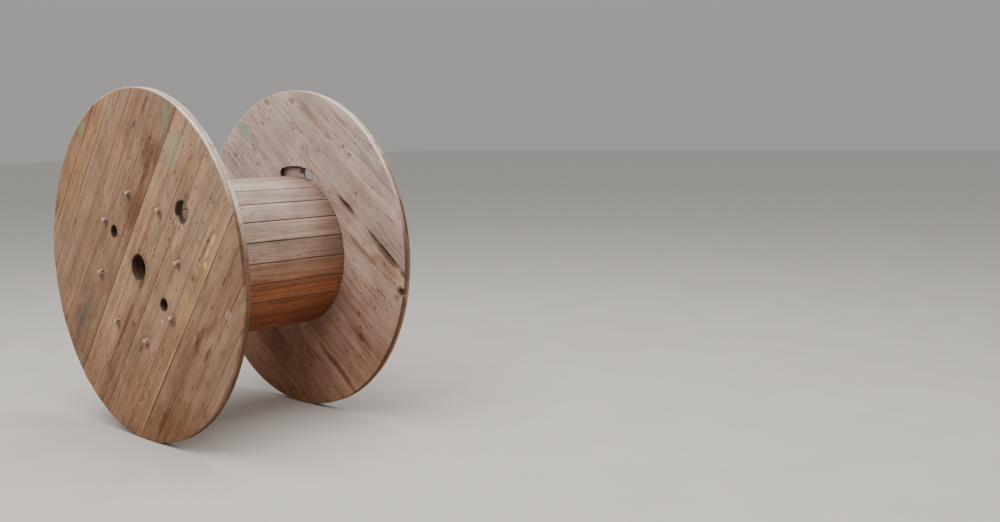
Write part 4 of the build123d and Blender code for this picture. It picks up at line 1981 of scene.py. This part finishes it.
@dataclass
class Drum:
    """The whole cable drum."""

    roll: float = math.radians(127.5)
    widths: tuple[float, ...] = (0.100, 0.104, 0.134, 0.116, 0.102, 0.118, 0.094, 0.094)
    narrow_widths: tuple[float, ...] = (0.080, 0.080, 0.106, 0.106, 0.108, 0.098, 0.100)
    arbor_radius: float = 0.055
    drive_radius: float = 0.026
    drive_ring: float = 0.250
    cable_radius: float = 0.047
    cable_ring: float = 0.459
    slot_ring: float = 0.395
    rod_ring: float = 0.334
    rod_count: int = 8
    rod_hole_radius: float = 0.0085
    barrel_radius: float = 0.370
    cable_turn: float = math.radians(17.5)
    slot_turn: float = -math.radians(35)
    slot_arc: float = math.radians(30)
    slot_radius: float = 0.025
    start_turn: float = -math.radians(24)
    start_radius: float = 0.045
    radius: float = field(init=False)
    height: float = field(init=False)
    outer_face: float = field(init=False)
    joint: float = field(init=False)
    inner_face: float = field(init=False)
    washer_face: float = field(init=False)
    nut_face: float = field(init=False)
    rod_end: float = field(init=False)

    def __post_init__(self) -> None:
        """Read the drum's planes and radii from the frame."""
        outer_low, outer_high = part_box("near_outer_boards")
        self.radius = (outer_high.y - outer_low.y) / 2
        self.height = (outer_high.z + outer_low.z) / 2
        self.outer_face = -outer_low.x
        self.joint = -outer_high.x
        self.inner_face = -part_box("near_inner_boards")[1].x
        self.washer_face = -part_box("near_washers")[0].x
        self.nut_face = -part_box("near_nuts")[0].x
        self.rod_end = -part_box("tie_rods")[0].x

    @property
    def across_turn(self) -> float:
        """The turn of both flanges' inner boards."""
        return self.roll - math.pi / 2

    @property
    def rod_turns(self) -> list[float]:
        """The rods' angles round the axle."""
        return [self.roll + step * math.tau / self.rod_count for step in range(self.rod_count)]

    def bolt_places(self) -> list[tuple[float, float]]:
        """Return the rods' places beside and above the axle."""
        return [(self.rod_ring * math.cos(turn), self.rod_ring * math.sin(turn)) for turn in self.rod_turns]

    def common_holes(self) -> tuple[Hole, ...]:
        """List the holes that go through every layer.

        Returns:
            The arbor hole, the drive holes and the holes for the rods.
        """
        turns = (self.across_turn, self.roll + math.pi / 2)
        drives = (Hole(self.drive_ring, turn, self.drive_radius, sides=32) for turn in turns)
        sizes = {"radius": self.rod_hole_radius, "worn": 0.0003, "sides": 12}
        rods = (Hole(self.rod_ring, turn, **sizes) for turn in self.rod_turns)
        return (Hole(0.0, 0.0, self.arbor_radius, worn=0.003), *drives, *rods)

    def layers(self) -> dict[str, BoardLayer]:
        """Lay out the boards of both flanges.

        Returns:
            The four layers by name.
        """
        cable = Hole(self.cable_ring, self.roll + self.cable_turn, self.cable_radius, worn=0.002)
        turn = self.roll + self.slot_turn
        slot = Hole(self.slot_ring, turn, self.slot_radius, arc=self.slot_arc, worn=0.002)
        start = Hole(self.slot_ring, self.roll + self.start_turn, self.start_radius)
        common = self.common_holes()
        wide_first = self.widths + self.narrow_widths
        narrow_first = self.narrow_widths + self.widths
        size = {"radius": self.radius, "height": self.height}
        soft = {
            "arris": 0.0009, "seam_gaps": (0.0001, 0.0005), "open_gap": 0.0018, "level_spread": 0.0005,
            "nail_share": 0.2,
        }
        return {
            "near_outer": BoardLayer(
                "near_face_planks", "near_outer_boards", "face_boards", self.roll, wide_first,
                -self.joint, -self.outer_face, holes=(*common, cable), seed=11, tones=NEAR_TONES,
                cracks=NEAR_CRACKS, open_seams=(2, 8), **size),
            "near_inner": BoardLayer(
                "near_inside_planks", "near_inner_boards", "inner_boards", self.across_turn, narrow_first,
                -self.joint, -self.inner_face, holes=(*common, cable), seed=12, **soft, **size),
            "far_inner": BoardLayer(
                "far_inside_planks", "far_inner_boards", "inner_boards", self.across_turn, wide_first,
                self.joint, self.inner_face, holes=(*common, slot), seed=13,
                cracks=FAR_CRACKS, open_seams=(5, 12), **soft, **size),
            "far_outer": BoardLayer(
                "far_face_planks", "far_outer_boards", "face_boards", self.roll, narrow_first,
                self.joint, self.outer_face, holes=(*common, start), seed=14, **size),
        }

    def finishes(self) -> dict[str, Wood]:
        """Choose the finishes of the board layers and the staves.

        Returns:
            The finish of each layer, and of the staves.
        """
        bolts = self.bolt_places()
        # The inside faces: their darkening towards the ground, partly damp wood and partly painted shade,
        # reaches high
        grey_pink = {
            "height": self.height, "silver": (0.69, 0.57, 0.52), "early": (0.57, 0.41, 0.32),
            "damp_and_shade": (0.46, 0.235, 0.12), "damp_and_shade_top": 1.6, "contrast": 0.55, "seam_dirt": 0.2,
        }
        return {
            "near_outer": Wood(
                "weathered_face_boards", 0.45, self.height, turn=self.roll, face_x=-self.outer_face,
                stains=NEAR_STAINS, bolts=tuple((-self.outer_face, y, self.height + z) for y, z in bolts),
                rim_radius=self.radius, contrast=0.85),
            "near_inner": Wood("weathered_inside_boards", 0.6, **grey_pink),
            "far_inner": Wood(
                "weathered_slot_boards", 0.68, turn=self.across_turn, face_x=self.inner_face,
                stains=FAR_STAINS, specks=0.6, bleach_and_highlight_from=0.5, rim_radius=self.radius, **grey_pink),
            "far_outer": Wood(
                "weathered_back_boards", 0.45, self.height, turn=self.roll, face_x=self.joint,
                # Painted light and shadow on the boards behind the slot
                stains=SLOT_LIGHT_AND_SHADE, bolts=tuple((self.outer_face, y, self.height + z) for y, z in bolts),
                bleach_and_highlight_from=0.5),
            "staves": Wood(
                "weathered_staves", 0.76, self.height, silver=(0.62, 0.595, 0.595),
                early=(0.46, 0.36, 0.30), shelter_and_shade=(-0.34, 0.12), damp_and_shade_top=-0.5, shaded_ends=0.42,
                side_shade=(0.86, 0.80, 0.75), knots_per_metre=0.9, contrast=0.8, seam_dirt=0.85,
                seam_reach=0.0035),
        }

    def dress_core_discs(self) -> None:
        """Give the core discs, which keep their own meshes, a sawn finish."""
        # The core discs' finish paints shade round the arbor bore
        core = Wood("sawn_core_discs", 0.1, self.height, loose=True, bore_radius=self.arbor_radius).build()
        for node in ("near_core_disc", "far_core_disc"):
            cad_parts[node].data.materials.clear()
            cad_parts[node].data.materials.append(core)
            log.info("%s keeps its own mesh", node)

    def build(self) -> None:
        """Build every piece of the drum."""
        layers, finishes, bolts = self.layers(), self.finishes(), self.bolt_places()
        nails = Nails(nail_tree(), Steel("rusty_nails", rust=(0.10, 0.05, 0.03), rusted=0.85).build())
        marks = {}
        for name, under in CROSSED.items():
            marks[name] = nails.layer_marks(layers[name], layers[under], bolts)
        for name, layer in layers.items():
            layer.build(finishes[name].build(), marks[name][0])

        ring = ring_tree()
        barrel = Barrel(self.barrel_radius, self.height, self.inner_face)
        barrel.build(ring, finishes["staves"].build())
        self.dress_core_discs()
        worn = Steel("dusty_zinc", zinc=(0.36, 0.27, 0.21), bloom=(0.52, 0.41, 0.335), rusted=0.5).build()
        faces = (self.outer_face, self.washer_face, self.nut_face, self.rod_end)
        Bolting(self.rod_ring, self.roll, self.height, *faces).build(ring, Steel("dull_zinc").build(), worn)

        head, tip = (0.0036, (1.0, 1.0, 1.0)), (0.0030, (1.9, 0.6, 1.3))
        for name, piece, form in (
            ("near_outer", "near_face_nails", head), ("near_inner", "near_inside_nail_tips", tip),
            ("far_inner", "far_inside_nail_tips", tip), ("far_outer", "far_face_nails", head),
        ):
            nails.build(piece, marks[name], *form, layers[name].seed)
        nails.build("stave_nails", barrel.nail_marks(), *head, barrel.seed)


def main() -> None:
    """Build the drum and its studio."""
    logging.basicConfig(level=logging.INFO, format="%(name)s %(message)s")
    Drum().build()
    Studio().build()


if __name__ == "__main__":
    main()
